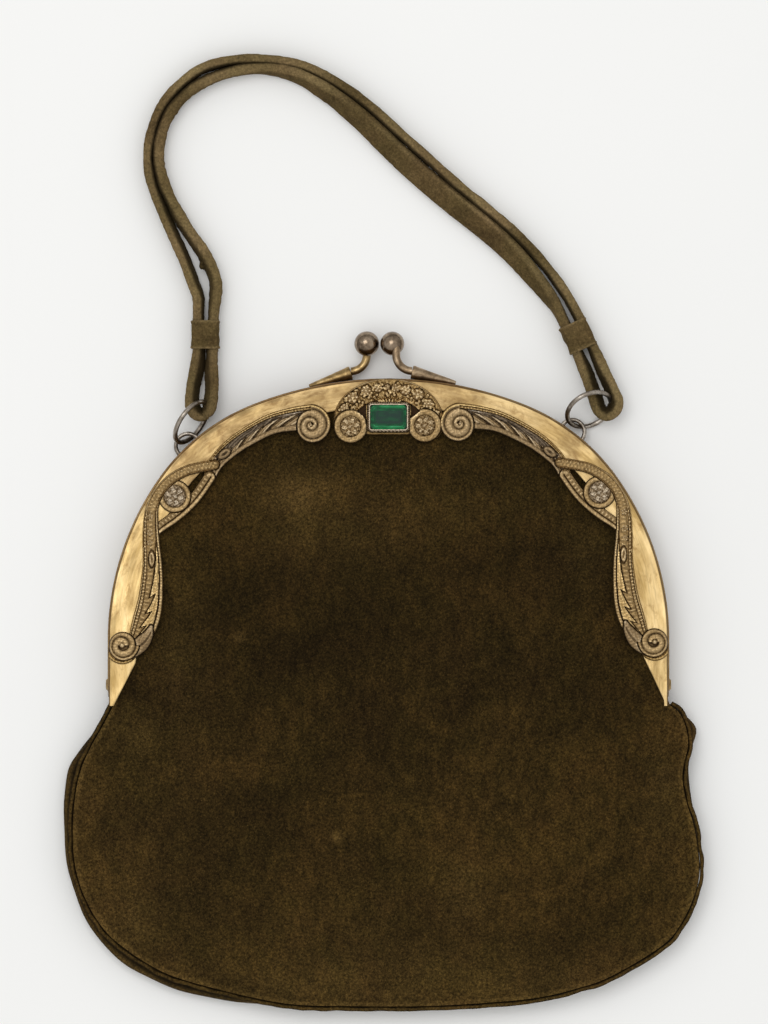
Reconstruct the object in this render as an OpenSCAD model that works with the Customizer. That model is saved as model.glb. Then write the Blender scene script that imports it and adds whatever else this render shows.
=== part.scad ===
// Frame purse of suede on a gilt arched frame, lying on its back.
// Millimetres. X runs across the purse, Y from its base to its clasp, Z up from the table.

/* [Frame] */
// Width over the feet of the arch
frame_w = 175.2; // [165:0.2:185]
// Height of the arch above its spring line
frame_rise = 81.6; // [76:0.2:88]
// Radius of the shoulders of the arch
shoulder_r = 64.7; // [60:0.1:70]
// Angle from the top at which the crown turns into a shoulder
crown_a = 21.6; // [18:0.2:26]
// Angle from the top at which a shoulder turns into a side
shoulder_a = 54.5; // [48:0.5:60]
// Length of the straight legs, from the spring line to the hinge
leg_len = 14; // [12:0.5:18]
// Width of the face plate
plate_w = 9; // [8:0.1:10]
// Thickness of the face plate
plate_t = 1; // [0.8:0.1:1.3]
// Thickness of the turned rim
rim_t = 1; // [0.8:0.1:1.3]
// Step along the outer edge
edge_step = 0.4; // [0.2:0.1:0.6]
// Thickness over both halves when closed
frame_depth = 13; // [12:0.5:15]
// Gap between the rims of the two halves
half_gap = 0.6; // [0.4:0.1:1]
// Length of the pointed foot below the hinge
foot_len = 6.5; // [5:0.1:8]
// Width of the blunt end of the foot
foot_tip = 2; // [1.5:0.1:3]

/* [Hinge] */
// Radius of the rivet
rivet_r = 1.2; // [1:0.1:1.5]
// Radius of the rivet heads
rivet_head_r = 2.1; // [1.9:0.1:2.6]
// Thickness of the rivet heads
rivet_head_t = 0.7; // [0.5:0.1:1]
// Radius of the hinge lugs
lug_r = 4; // [3.4:0.1:4.4]
// Thickness of the inner lug
lug_t = 1; // [0.8:0.1:1.3]
// Side gap between the two lugs
lug_gap = 0.3; // [0.2:0.05:0.5]
// Running clearance round the rivet
rivet_clear = 0.05; // [0.02:0.01:0.1]

/* [Clasp] */
// Distance of the middle of the clasp from the middle of the frame
clasp_x = -2.8; // [-5:0.1:0]
// Radius of the ball on the front half
front_ball_r = 3.75; // [3.3:0.05:4.1]
// Radius of the ball on the back half
back_ball_r = 3.9; // [3.4:0.05:4.3]
// Side gap between the balls
ball_gap = 0.34; // [0.3:0.02:0.6]
// Height of the balls' centres above the top of the arch
ball_rise = 11; // [10:0.1:12]
// Distance of each ball's centre from the plane between the halves
ball_lead = 1; // [0.5:0.1:1.5]
// Radius of the arms
arm_r = 1.25; // [1:0.05:1.5]
// Bend radius of the arms
arm_bend_r = 5; // [4.4:0.1:5.6]
// Length of the ferrules
ferrule_len = 14; // [12:0.5:17]
// Radius of a ferrule at its mouth
ferrule_r = 2.1; // [1.8:0.05:2.4]
// Radius of a ferrule at its tip
ferrule_tip_r = 0.7; // [0.5:0.05:1]

/* [Mounts] */
// Thickness of the flat back of the cast mounts
mount_base = 0.9; // [0.7:0.1:1.2]
// Height of the cast bands
band_h = 2.2; // [1.7:0.1:2.6]
// Radius of the upper volutes
upper_volute_r = 5.3; // [4.8:0.1:5.6]
// Radius of the lower volutes
lower_volute_r = 4.5; // [4:0.1:4.8]
// Radius of the collars in the knots
collar_r = 5.1; // [4.6:0.1:5.4]
// Radius of the rosettes
rosette_r = 3; // [2.6:0.1:3.3]
// Half width of the floral arch in the middle
floral_w = 17.2; // [16.6:0.1:17.8]
// Width of the floral band
floral_band = 6.6; // [6:0.1:7]

/* [Stone] */
// Length of the stone
stone_l = 11.4; // [10.6:0.1:12]
// Width of the stone
stone_w = 7.6; // [7:0.1:8]
// Cut corner of the stone
stone_cut = 1.9; // [1.5:0.1:2.2]
// Height of the stone above its seat
stone_h = 2.4; // [2:0.1:3]
// Wall of the bezel
bezel_wall = 1; // [0.8:0.1:1.2]
// Height of the bezel
bezel_h = 2.6; // [2.2:0.1:3]
// Clearance round the stone
stone_clear = 0.04; // [0.02:0.01:0.08]

/* [Rings] */
// Angle from the top of the arch to the left ear
left_ear_a = 43; // [42:0.5:44]
// Angle from the top of the arch to the right ear
right_ear_a = 37; // [36:0.5:38]
// Radius of the ears to the middle of the wire
ear_r = 3.8; // [3.6:0.1:4.2]
// Radius of the ear wire
ear_wire_r = 0.65; // [0.5:0.05:0.7]
// Height of the ears above the table
ear_z = 3.6; // [3.2:0.1:4]
// Radius of the rings to the middle of the wire
ring_r = 7.4; // [7.2:0.1:7.7]
// Radius of the ring wire
ring_wire_r = 0.75; // [0.6:0.05:0.8]

/* [Strap] */
// Width of the folded strap
strap_w = 6.4; // [5.6:0.1:6.6]
// Thickness of the folded strap
strap_t = 2.8; // [2.4:0.1:3]
// Length of the keepers
keeper_len = 9; // [7:0.5:11]
// Wall of the keepers
keeper_wall = 0.8; // [0.6:0.1:1]
// Spacing of the two runs of strap in a keeper
run_space = 4.4; // [4:0.1:4.8]
// Clearance round the strap in a keeper
keeper_clear = 0.4; // [0.3:0.05:0.5]

/* [Bag] */
// Overhang of the bag past each side of the frame
bag_side = 11.9; // [6:0.1:16]
// Depth of the bag below the spring line of the frame
bag_drop = 116.2; // [108:0.2:122]
// Depth of the widest level below the spring line
widest_drop = 59.3; // [56:0.1:62]
// Squareness of the outline
bag_power = 2.7; // [2.4:0.05:3]
// Thickness of the suede
suede_t = 1; // [0.8:0.1:1.3]
// Thickness of the lining
lining_t = 0.6; // [0.5:0.1:0.8]
// Height of the sides
side_h = 9; // [8:0.2:11]
// Rise of the front above its seam
crown_h = 10; // [7:0.5:13]
// Width of side that shows past the front
side_show = 2.6; // [2:0.1:3.2]
// Depth of panel that is held behind the face plate
tuck = 2; // [1.5:0.1:2.5]

/* [Hidden] */

$fn = 64;
gilt = "#d9b36a";
bronze = "#8f7444";
nickel = "#8d8478";
suede = "#4a3716";
strap_suede = "#6e5832";
lining_cloth = "#8a7a58";
stone_green = "#146a44";

// Gap left between pieces that are soldered or seated on a curved face
solder_gap = 0.02;
// Gap left between soft pieces and what holds them
soft_gap = 0.3;

// The spring line lies where the middle of the whole length is at Y = 0
ball_top = max(front_ball_r, back_ball_r);
spring_y = (bag_drop - frame_rise - ball_rise - ball_top) / 2;
apex_y = spring_y + frame_rise;
hinge_y = spring_y - leg_len;
foot_y = hinge_y - foot_len;
mid_z = frame_depth / 2;
face_z = frame_depth;
half_w = frame_w / 2;

// Crown and side radii that join the shoulder arc to the set width and rise
crown_s = sin(crown_a);
crown_c = cos(crown_a);
side_s = sin(shoulder_a);
side_c = cos(shoulder_a);
rest_w = half_w - shoulder_r * (side_s - crown_s);
rest_h = frame_rise - shoulder_r * (crown_c - side_c);
arch_det = crown_s * side_c - (1 - side_s) * (1 - crown_c);
crown_r = (rest_w * side_c - (1 - side_s) * rest_h) / arch_det;
side_r = (crown_s * rest_h - (1 - crown_c) * rest_w) / arch_det;

function bearing(a) = [sin(a), cos(a)];
crown_o = [0, apex_y - crown_r];
shoulder_o = crown_o + (crown_r - shoulder_r) * bearing(crown_a);
side_o = shoulder_o + (shoulder_r - side_r) * bearing(shoulder_a);

// Point on the right half of the arch, inset from its edge; past 90 each unit is 1 mm down the leg
function arch_at(a, inset) =
    a <= crown_a ? crown_o + (crown_r - inset) * bearing(a)
    : a <= shoulder_a ? shoulder_o + (shoulder_r - inset) * bearing(a)
    : a <= 90 ? side_o + (side_r - inset) * bearing(a)
    : [half_w - inset, spring_y - (a - 90)];

// Smooth run through a list of stations, with a number of steps for each gap
function station(p, i) = p[max(0, min(len(p) - 1, i))];
function spline_at(p, i, t) =
    let (a = station(p, i - 1), b = station(p, i), c = station(p, i + 1), d = station(p, i + 2))
    0.5 * (2 * b + (c - a) * t + (2 * a - 5 * b + 4 * c - d) * t * t + (3 * b - a - 3 * c + d) * t * t * t);
function spline(p, steps) = [
    for (i = [0 : len(p) - 2]) for (k = [0 : steps - 1]) spline_at(p, i, k / steps),
    p[len(p) - 1]
];

function unit2(v) = v / max(norm(v), 0.0001);
function left_of(v) = [-v[1], v[0]];
function heading(p, i) =
    let (d = station(p, i + 1) - station(p, i - 1))
    unit2([d[0], d[1]]);

// Sides of a swept skin of rings with n points each, closed at both ends
function skin_faces(rings, n) = [
    [for (j = [0 : n - 1]) j],
    for (i = [0 : rings - 2]) for (j = [0 : n - 1])
        let (a = i * n + j, b = i * n + (j + 1) % n, c = a + n, d = b + n)
        each [[a, c, b], [b, c, d]],
    [for (j = [n - 1 : -1 : 0]) (rings - 1) * n + j]
];

// Domed band along stations of [x, y, width, height], flat below
band_section = [[1, 0], [1, 0.55], [0.5, 0.9], [0, 1], [-0.5, 0.9], [-1, 0.55], [-1, 0]];
module band(stations) {
    n = len(band_section);
    points = [
        for (i = [0 : len(stations) - 1])
            let (s = stations[i], side = left_of(heading(stations, i)))
            for (q = band_section)
                [s[0] + side[0] * q[0] * s[2] / 2, s[1] + side[1] * q[0] * s[2] / 2, face_z + q[1] * s[3]]
    ];
    polyhedron(points, skin_faces(len(stations), n), convexity = 6);
}

// Scroll that winds in to a round eye; shares of its radius, then of the height of the bands
volute_turns = 1.5;
volute_steps = 10;
volute_out = 0.82;
volute_in = 0.26;
volute_w_out = 0.4;
volute_w_in = 0.28;
volute_back = 0.86;
volute_rise = 0.2;
eye_top = 0.16;
eye_h = 1.3;
module volute(at, r, start, dir) {
    steps = volute_turns * volute_steps;
    stations = [
        for (i = [0 : steps])
            let (f = i / steps, a = start + dir * f * volute_turns * 360)
            let (q = r * (volute_out + (volute_in - volute_out) * f))
            let (w = r * (volute_w_out + (volute_w_in - volute_w_out) * f))
            [at[0] + q * cos(a), at[1] + q * sin(a), w, band_h * (1 + volute_rise * f)]
    ];
    translate([at[0], at[1], face_z])
        cylinder(r = r * volute_back, h = mount_base, $fn = 14);
    band(stations);
    translate([at[0], at[1], face_z])
        cylinder(r1 = r * volute_in, r2 = r * eye_top, h = band_h * eye_h, $fn = 8);
}

// Petalled flower on a round boss; shares of its radius
petals = 6;
boss_foot = 0.34;
boss_top = 0.22;
boss_h = 1.5;
petal_root = 0.3;
petal_root_r = 0.16;
petal_root_h = 0.7;
petal_reach = 0.72;
petal_foot = 0.3;
petal_top = 0.2;
petal_h = 1;
module rosette(at, r) {
    translate([at[0], at[1], face_z + mount_base]) {
        cylinder(r1 = r * boss_foot, r2 = r * boss_top, h = boss_h, $fn = 8);
        for (k = [0 : petals - 1])
            rotate(k * 360 / petals)
                hull() {
                    translate([r * petal_root, 0, 0])
                        cylinder(r = r * petal_root_r, h = petal_root_h, $fn = 4);
                    translate([r * petal_reach, 0, 0])
                        cylinder(r1 = r * petal_foot, r2 = r * petal_top, h = petal_h, $fn = 6);
                }
    }
}

// Round collar that rings a rosette
collar_w = 1.7;
collar_bevel = 0.5;
collar_edge = 0.6;
module collar(at) {
    inner = collar_r - collar_w;
    edge_h = band_h * collar_edge;
    translate([at[0], at[1], face_z]) {
        rotate_extrude($fn = 18)
            polygon([
                [inner, 0], [collar_r, 0], [collar_r, edge_h],
                [collar_r - collar_bevel, band_h], [inner + collar_bevel, band_h], [inner, edge_h]
            ]);
        cylinder(r = collar_r - collar_w / 2, h = mount_base, $fn = 18);
    }
}

// Lobe of an acanthus leaf, from its root to its tip; shares of its width, then of the height of the bands
lobe_root = 0.6;
lobe_foot = 0.45;
lobe_top = 0.2;
lobe_rise = 1.15;
lobe_fall = 0.75;
module lobe(root, tip, w) {
    hull() {
        translate([root[0], root[1], face_z])
            cylinder(r = w * lobe_root, h = band_h * lobe_rise, $fn = 5);
        translate([tip[0], tip[1], face_z])
            cylinder(r1 = w * lobe_foot, r2 = w * lobe_top, h = band_h * lobe_fall, $fn = 5);
    }
}

// Stations of the cast bands: place along the arch, then inset and width as shares of the plate's width
// The leaf's places are shares of its run from the upper volute to the fork, the others angles from the top
leaf_run = [
    [0, 0.93, 0.84], [0.17, 0.88, 0.71], [0.44, 0.96, 0.62],
    [0.68, 1.03, 0.58], [0.86, 1.13, 0.51], [1, 1.33, 0.4]
];
outer_run = [
    [40.5, 1.18, 0.33], [44, 0.91, 0.33], [48.5, 0.57, 0.33], [53.5, 0.33, 0.33], [57, 0.24, 0.33],
    [60, 0.29, 0.36], [63, 0.49, 0.47], [67, 0.81, 0.58], [71, 1.09, 0.67], [75, 1.27, 0.76],
    [79, 1.36, 0.84], [82, 1.37, 0.91], [85, 1.31, 0.93], [88, 1.18, 0.84], [91, 0.98, 0.62]
];
inner_run = [
    [44.5, 1.33, 0.36], [51, 1.44, 0.36], [56, 1.39, 0.36],
    [60, 1.2, 0.36], [63.5, 0.93, 0.36], [66, 0.78, 0.29]
];
// Lobes: place and inset of the root, place and inset of the tip, width
leaf_lobes = [
    [0.14, 0.93, 0.07, 0.67, 0.19], [0.27, 0.96, 0.2, 0.66, 0.19], [0.42, 1, 0.36, 0.71, 0.18],
    [0.58, 1.04, 0.51, 0.78, 0.17], [0.73, 1.11, 0.66, 0.84, 0.16]
];
band_lobes = [
    [74, 1.2, 76, 0.89, 0.17], [77.5, 1.27, 80, 0.93, 0.18], [81, 1.31, 83.5, 0.96, 0.19],
    [84.5, 1.31, 87, 0.93, 0.19], [79, 1.44, 82, 1.73, 0.17], [75, 1.38, 78, 1.62, 0.16]
];
// The upper volute stands clear of the floral arch, and the leaf grows out of it
volute_gap = 1.2;
upper_inset = 11.6;
upper_a = asin((floral_w + volute_gap + upper_volute_r) / (crown_r - upper_inset));
leaf_in_volute = 3.4;
leaf_a = upper_a + atan(leaf_in_volute / crown_r);
fork_a = 44.5;
knot_a = 55.6;
knot_inset = 7.2;
lower_inset = 4.6;
lower_a = 91.2;
upper_volute_at = arch_at(upper_a, upper_inset);
lower_volute_at = arch_at(lower_a, lower_inset);
knot_at = arch_at(knot_a, knot_inset);
upper_start = 110;
lower_start = 150;
run_steps = 2;

function leaf_place(share) = leaf_a + share * (fork_a - leaf_a);
function on_plate(a, share) = arch_at(a, share * plate_w);
function run_stations(run) = spline(
    [for (s = run) let (p = on_plate(s[0], s[1])) [p[0], p[1], s[2] * plate_w, band_h]],
    run_steps
);

module scroll_mount() {
    band(run_stations([for (s = leaf_run) [leaf_place(s[0]), s[1], s[2]]]));
    band(run_stations(outer_run));
    band(run_stations(inner_run));
    for (l = leaf_lobes)
        lobe(on_plate(leaf_place(l[0]), l[1]), on_plate(leaf_place(l[2]), l[3]), l[4] * plate_w);
    for (l = band_lobes)
        lobe(on_plate(l[0], l[1]), on_plate(l[2], l[3]), l[4] * plate_w);
    volute(upper_volute_at, upper_volute_r, upper_start, -1);
    volute(lower_volute_at, lower_volute_r, lower_start, 1);
    collar(knot_at);
    rosette(knot_at, rosette_r);
}

// Floral arch in the middle
rosette_x = 12;
rosette_drop = 14.8;
rosette_y = apex_y - rosette_drop;
floral_lift = 1.5;
floral_base_y = rosette_y + floral_lift;
floral_rise = apex_y - floral_base_y;
floral_leaves = 9;
leaf_first_a = 14;
leaf_lean = 3;
leaf_w = 1.5;
leaf_root = 0.66;
leaf_tip = 0.2;
bezel_drop = 12.1;
bezel_y = apex_y - bezel_drop;
bezel_l = stone_l + 2 * (bezel_wall + stone_clear);
bezel_w = stone_w + 2 * (bezel_wall + stone_clear);
bezel_cut = stone_cut + bezel_wall * (2 - sqrt(2));
mount_seat = face_z + mount_base;

function floral_at(a, inset) = [(floral_w - inset) * cos(a), floral_base_y + (floral_rise - inset) * sin(a)];

// Rectangle with cut corners
function cut_ring(l, w, c, z) = [
    [-l / 2 + c, -w / 2, z], [l / 2 - c, -w / 2, z], [l / 2, -w / 2 + c, z], [l / 2, w / 2 - c, z],
    [l / 2 - c, w / 2, z], [-l / 2 + c, w / 2, z], [-l / 2, w / 2 - c, z], [-l / 2, -w / 2 + c, z]
];
module cut_rect(l, w, c) {
    polygon([for (p = cut_ring(l, w, c, 0)) [p[0], p[1]]]);
}

// Flat back of the floral arch, pierced beside the bezel
pierce_l = 2.4;
pierce_h = 3.2;
back_margin = 0.6;
floral_step = 9;
module centre_base() {
    back_x = bezel_l / 2 + back_margin;
    back_y = bezel_y - bezel_w / 2 - back_margin;
    translate([0, 0, face_z])
        linear_extrude(mount_base)
            difference() {
                polygon([
                    for (a = [0 : floral_step : 180]) floral_at(a, back_margin / 2),
                    [-rosette_x, rosette_y - 1], [-back_x, back_y],
                    [back_x, back_y], [rosette_x, rosette_y - 1]
                ]);
                for (s = [-1, 1])
                    translate([s * back_x, bezel_y + back_margin])
                        polygon([[0, -pierce_h / 2], [s * pierce_l, pierce_h / 2], [0, pierce_h / 2]]);
            }
}

module centre_mount() {
    color(bronze) {
        centre_base();
        band([
            for (a = [-floral_step : floral_step : 180 + floral_step])
                let (p = floral_at(a, floral_band / 2))
                [p[0], p[1], floral_band, band_h]
        ]);
        for (k = [0 : floral_leaves - 1])
            let (a = leaf_first_a + k * (180 - 2 * leaf_first_a) / (floral_leaves - 1))
            let (lean = k < floral_leaves / 2 ? -leaf_lean : leaf_lean)
            lobe(floral_at(a, floral_band * leaf_root), floral_at(a + lean, floral_band * leaf_tip), leaf_w);
        for (s = [-1, 1]) {
            collar([s * rosette_x, rosette_y]);
            rosette([s * rosette_x, rosette_y], rosette_r);
        }
    }
}

module left_scroll_mount() {
    color(bronze)
        mirror([1, 0, 0])
            scroll_mount();
}

module right_scroll_mount() {
    color(bronze)
        scroll_mount();
}

// The bezel and the stone stand on the flat back of the floral arch
module stone_bezel() {
    color(bronze)
        translate([0, bezel_y, mount_seat])
            difference() {
                linear_extrude(bezel_h)
                    cut_rect(bezel_l, bezel_w, bezel_cut);
                translate([0, 0, bezel_h / 2])
                    linear_extrude(bezel_h)
                        cut_rect(stone_l + 2 * stone_clear, stone_w + 2 * stone_clear, stone_cut);
            }
}

// Step cut of the stone: inset and share of its height
stone_steps = [[0, 0], [0, 0.45], [0.7, 0.75], [1.5, 1]];
module green_stone() {
    points = [
        for (q = stone_steps)
            each cut_ring(stone_l - 2 * q[0], stone_w - 2 * q[0], stone_cut, q[1] * stone_h)
    ];
    color(stone_green)
        translate([0, bezel_y, mount_seat + bezel_h / 2])
            polyhedron(points, skin_faces(len(stone_steps), 8), convexity = 2);
}

// Outline of a strip of the arch between two insets, from foot to foot, at a set end level
arch_steps = 36;
function arch_side(inset, end_y) = [
    [half_w - inset, end_y],
    for (k = [0 : arch_steps]) arch_at(90 - k * 90 / arch_steps, inset)
];
function both_sides(p) = concat(p, [for (k = [len(p) - 2 : -1 : 0]) [-p[k][0], p[k][1]]]);
function reversed(p) = [for (k = [len(p) - 1 : -1 : 0]) p[k]];
module arch_strip(outer, inner, outer_end, inner_end) {
    outer_edge = both_sides(arch_side(outer, outer_end));
    inner_edge = both_sides(arch_side(inner, inner_end));
    polygon(concat(outer_edge, reversed(inner_edge)));
}

// One half of the frame, face up: a face plate with slanted feet and a turned rim with a stepped edge
module half_arch(rim_end) {
    rim_z = mid_z + half_gap / 2;
    translate([0, 0, face_z - plate_t])
        linear_extrude(plate_t)
            arch_strip(edge_step, plate_w, foot_y, foot_y + plate_w - foot_tip);
    translate([0, 0, rim_z])
        linear_extrude(face_z - edge_step - rim_z)
            arch_strip(0, rim_t, rim_end, rim_end);
}

module at_hinge(x) {
    translate([x, hinge_y, mid_z])
        rotate([0, 90, 0])
            children();
}

// Places of the lugs along the rivet
lug_set = 0.05;
outer_lug_t = rim_t - 2 * lug_set;
outer_lug_x = half_w - rim_t + lug_set;
inner_lug_x = half_w - rim_t - lug_gap - lug_t;
lug_relief = 0.5;
lug_neck = lug_r * 0.7;

module front_frame() {
    color(gilt) {
        half_arch(hinge_y + lug_r + lug_relief);
        for (s = [0, 1])
            mirror([s, 0, 0])
                difference() {
                    union() {
                        at_hinge(inner_lug_x)
                            cylinder(r = lug_r, h = lug_t);
                        translate([inner_lug_x, hinge_y - lug_neck, mid_z])
                            cube([lug_t, 2 * lug_neck, face_z - plate_t / 2 - mid_z]);
                    }
                    at_hinge(inner_lug_x - 1)
                        cylinder(r = rivet_r + rivet_clear, h = lug_t + 2);
                }
    }
}

module back_frame() {
    color(gilt) {
        translate([0, 0, frame_depth])
            mirror([0, 0, 1])
                half_arch(hinge_y + lug_neck / 2);
        for (s = [0, 1])
            mirror([s, 0, 0])
                difference() {
                    union() {
                        at_hinge(outer_lug_x)
                            cylinder(r = lug_r, h = outer_lug_t);
                        translate([outer_lug_x, hinge_y - lug_neck, plate_t / 2])
                            cube([outer_lug_t, 2 * lug_neck, mid_z - plate_t / 2]);
                    }
                    at_hinge(outer_lug_x - 1)
                        cylinder(r = rivet_r + solder_gap, h = rim_t + 2);
                }
    }
}

module hinge_rivet() {
    at_hinge(inner_lug_x - rivet_head_t - solder_gap)
        cylinder(r = rivet_head_r, h = rivet_head_t);
    at_hinge(inner_lug_x - rivet_head_t)
        cylinder(r = rivet_r, h = half_w - inner_lug_x + rivet_head_t);
    at_hinge(half_w + solder_gap)
        cylinder(r1 = rivet_head_r, r2 = rivet_head_r * 0.7, h = rivet_head_t);
    at_hinge(half_w - solder_gap)
        cylinder(r = rivet_r, h = 3 * solder_gap);
}

module left_hinge_rivet() {
    color(gilt)
        mirror([1, 0, 0])
            hinge_rivet();
}

module right_hinge_rivet() {
    color(gilt)
        hinge_rivet();
}

// Clasp: a ball on a bent arm that stands in a ferrule on the rim
ball_y = apex_y + ball_rise;
ball_space = front_ball_r + back_ball_r + ball_gap;
front_ball_x = clasp_x + ball_space / 2;
back_ball_x = clasp_x - ball_space / 2;
rim_mid = (mid_z + half_gap / 2) / 2;
back_arm_z = rim_mid;
front_arm_z = frame_depth - rim_mid;
arm_offset = 1.2;
// Height of the ferrule's mouth above the edge of the arch
mouth_lift = 2.4;
arm_base_y = apex_y + mouth_lift;
ferrule_a = asin((ferrule_r - ferrule_tip_r) / ferrule_len) + 5;

module clear_of_arch() {
    difference() {
        children();
        translate([crown_o[0], crown_o[1], -1])
            cylinder(r = crown_r + solder_gap, h = frame_depth + 2, $fn = 360);
    }
}

// Parts for a ball at x on the right of its arm's root when dir is -1, on the left when it is 1
module ferrule(x, z, dir) {
    clear_of_arch()
        translate([x + dir * arm_bend_r, arm_base_y, z])
            rotate([0, 0, -dir * ferrule_a])
                rotate([0, dir * 90, 0])
                    cylinder(r1 = ferrule_r, r2 = ferrule_tip_r, h = ferrule_len);
}

module arm(x, z, dir, ball_at, ball_r) {
    difference() {
        translate([x, arm_base_y, z]) {
            translate([dir * arm_bend_r, arm_bend_r, 0])
                rotate([0, 0, dir > 0 ? 180 : 270])
                    rotate_extrude(angle = 90)
                        translate([arm_bend_r, 0])
                            circle(r = arm_r, $fn = 32);
            translate([0, arm_bend_r, 0])
                rotate([-90, 0, 0])
                    cylinder(r = arm_r, h = ball_y - arm_base_y - arm_bend_r);
        }
        translate(ball_at)
            sphere(r = ball_r + solder_gap);
        translate([x + dir * arm_bend_r, arm_base_y, z])
            rotate([0, 0, -dir * ferrule_a])
                rotate([0, dir * 90, 0])
                    translate([0, 0, -solder_gap])
                        cylinder(r = 2 * ferrule_r, h = ferrule_len);
    }
}

front_arm_x = front_ball_x + arm_offset;
front_ball_at = [front_ball_x, ball_y, mid_z + ball_lead];
back_ball_at = [back_ball_x, ball_y, mid_z - ball_lead];

module front_clasp_ferrule() {
    color(bronze)
        ferrule(front_arm_x, front_arm_z, 1);
}

module front_clasp_arm() {
    color(bronze)
        arm(front_arm_x, front_arm_z, 1, front_ball_at, front_ball_r);
}

module front_clasp_ball() {
    color(nickel)
        translate(front_ball_at)
            sphere(r = front_ball_r);
}

module back_clasp_ferrule() {
    color(bronze)
        ferrule(back_ball_x, back_arm_z, -1);
}

module back_clasp_arm() {
    color(bronze)
        arm(back_ball_x, back_arm_z, -1, back_ball_at, back_ball_r);
}

module back_clasp_ball() {
    color(nickel)
        translate(back_ball_at)
            sphere(r = back_ball_r);
}

// Wire ears on the rim of the back half
module ear(a) {
    at = arch_at(a, 0);
    difference() {
        translate([at[0], at[1], ear_z])
            rotate_extrude()
                translate([ear_r, 0])
                    circle(r = ear_wire_r, $fn = 32);
        translate([shoulder_o[0], shoulder_o[1], -1])
            cylinder(r = shoulder_r + solder_gap, h = frame_depth, $fn = 360);
    }
}

module left_ear() {
    color(nickel)
        mirror([1, 0, 0])
            ear(left_ear_a);
}

module right_ear() {
    color(nickel)
        ear(right_ear_a);
}

// Rings: place from the ear, direction of the far end and lean
left_ring_off = [1.15, 7.4];
left_ring_dir = 55;
left_ring_lean = 65;
right_ring_off = [5.3, 7];
right_ring_dir = 25;
right_ring_lean = 50;
ring_floor = 0.1;

module ring(at, dir, lean) {
    translate([at[0], at[1], ring_floor + ring_wire_r + ring_r * sin(lean)])
        rotate([0, 0, dir])
            rotate([lean, 0, 0])
                rotate_extrude()
                    translate([ring_r, 0])
                        circle(r = ring_wire_r, $fn = 32);
}

left_ear_at = [-arch_at(left_ear_a, 0)[0], arch_at(left_ear_a, 0)[1]];
right_ear_at = arch_at(right_ear_a, 0);

module left_ring() {
    color(nickel)
        ring(left_ear_at + left_ring_off, left_ring_dir, left_ring_lean);
}

module right_ring() {
    color(nickel)
        ring(right_ear_at + right_ring_off, right_ring_dir, right_ring_lean);
}

// Route of the strap's middle: from the left ring along the outer run, round the right ring and back inside
strap_route = [
    [-58.6, 79, 6.4], [-61, 80.8, 6.4], [-62, 84.2, 6], [-61.5, 89.5, 5.2], [-60.2, 96, 4.4],
    [-59.5, 102, 4], [-59.5, 112, 4], [-59.5, 117, 3.6], [-61, 121.5, 3.3], [-63.5, 128.5, 3.3],
    [-67.5, 137.5, 3.3], [-71, 145.5, 3.3], [-74, 153.5, 3.3], [-75, 161.5, 3.3], [-73.5, 170, 3.3],
    [-70.5, 177, 3.3], [-65.5, 183, 3.3], [-58, 188.5, 3.3], [-48, 191, 3.3], [-37, 191, 3.3],
    [-26.5, 189, 3.3], [-16.5, 184, 3.3], [-6.5, 177, 3.3], [3, 168.5, 3.3], [12.5, 160, 3.3],
    [22, 151.5, 3.3], [31, 144, 3.3], [40, 136, 3.3], [47.5, 127.5, 3.3], [54, 118.5, 3.6],
    [58.8, 109.7, 4.1], [62.6, 101.5, 4.1], [66.8, 93, 4.8], [70.4, 88.4, 5.4], [72.8, 84.4, 6],
    [71.6, 80.4, 6], [68, 78.6, 6], [64.6, 80.8, 6], [63, 86.6, 5.6], [61.2, 93, 4.8],
    [58.6, 99.6, 4.1], [54.8, 107.8, 4.1], [51, 114.6, 3.6], [45, 122.5, 3.3], [38, 131, 3.3],
    [29.5, 139.5, 3.3], [21, 147, 3.3], [12.5, 154.5, 3.3], [4, 162, 3.3], [-4, 168.5, 3.3],
    [-12, 174.5, 3.3], [-20.5, 180.5, 3.3], [-30.5, 185.8, 3.3], [-41, 187.5, 3.3], [-51, 186, 3.3],
    [-60, 182, 3.3], [-66.5, 176, 3.3], [-70.2, 169, 3.3], [-71.6, 161.5, 3.3], [-70.6, 154, 3.3],
    [-67.6, 146, 3.3], [-63.8, 138, 3.3], [-59, 130, 3.3], [-55.6, 122.5, 3.3], [-55.1, 117, 3.6],
    [-55.1, 112, 4], [-55.1, 102, 4], [-54.6, 96, 4.4], [-53.6, 89.5, 5.2], [-53.8, 84.2, 6],
    [-54.8, 80.8, 6.4], [-57.2, 79.1, 6.4]
];
strap_sides = 8;
strap_flat = 1 / cos(180 / strap_sides);

module strap() {
    rings = len(strap_route);
    points = [
        for (i = [0 : rings - 1])
            let (p = strap_route[i], side = left_of(heading(strap_route, i)))
            for (k = [0 : strap_sides - 1])
                let (a = (k + 0.5) * 360 / strap_sides, u = strap_flat * cos(a) * strap_t / 2)
                [p[0] + side[0] * u, p[1] + side[1] * u, p[2] + strap_flat * sin(a) * strap_w / 2]
    ];
    color(strap_suede)
        polyhedron(points, skin_faces(rings, strap_sides), convexity = 10);
}

// Sleeves that hold the two runs of the strap together
keeper_in_w = run_space + strap_t + 2 * keeper_clear;
keeper_in_h = strap_w + 2 * keeper_clear;
keeper_out_w = keeper_in_w + 2 * keeper_wall;
keeper_out_h = keeper_in_h + 2 * keeper_wall;
left_keeper_at = [-57.3, 106.5];
left_keeper_turn = 0;
right_keeper_at = [58.7, 104.6];
right_keeper_turn = 24.5;

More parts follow.
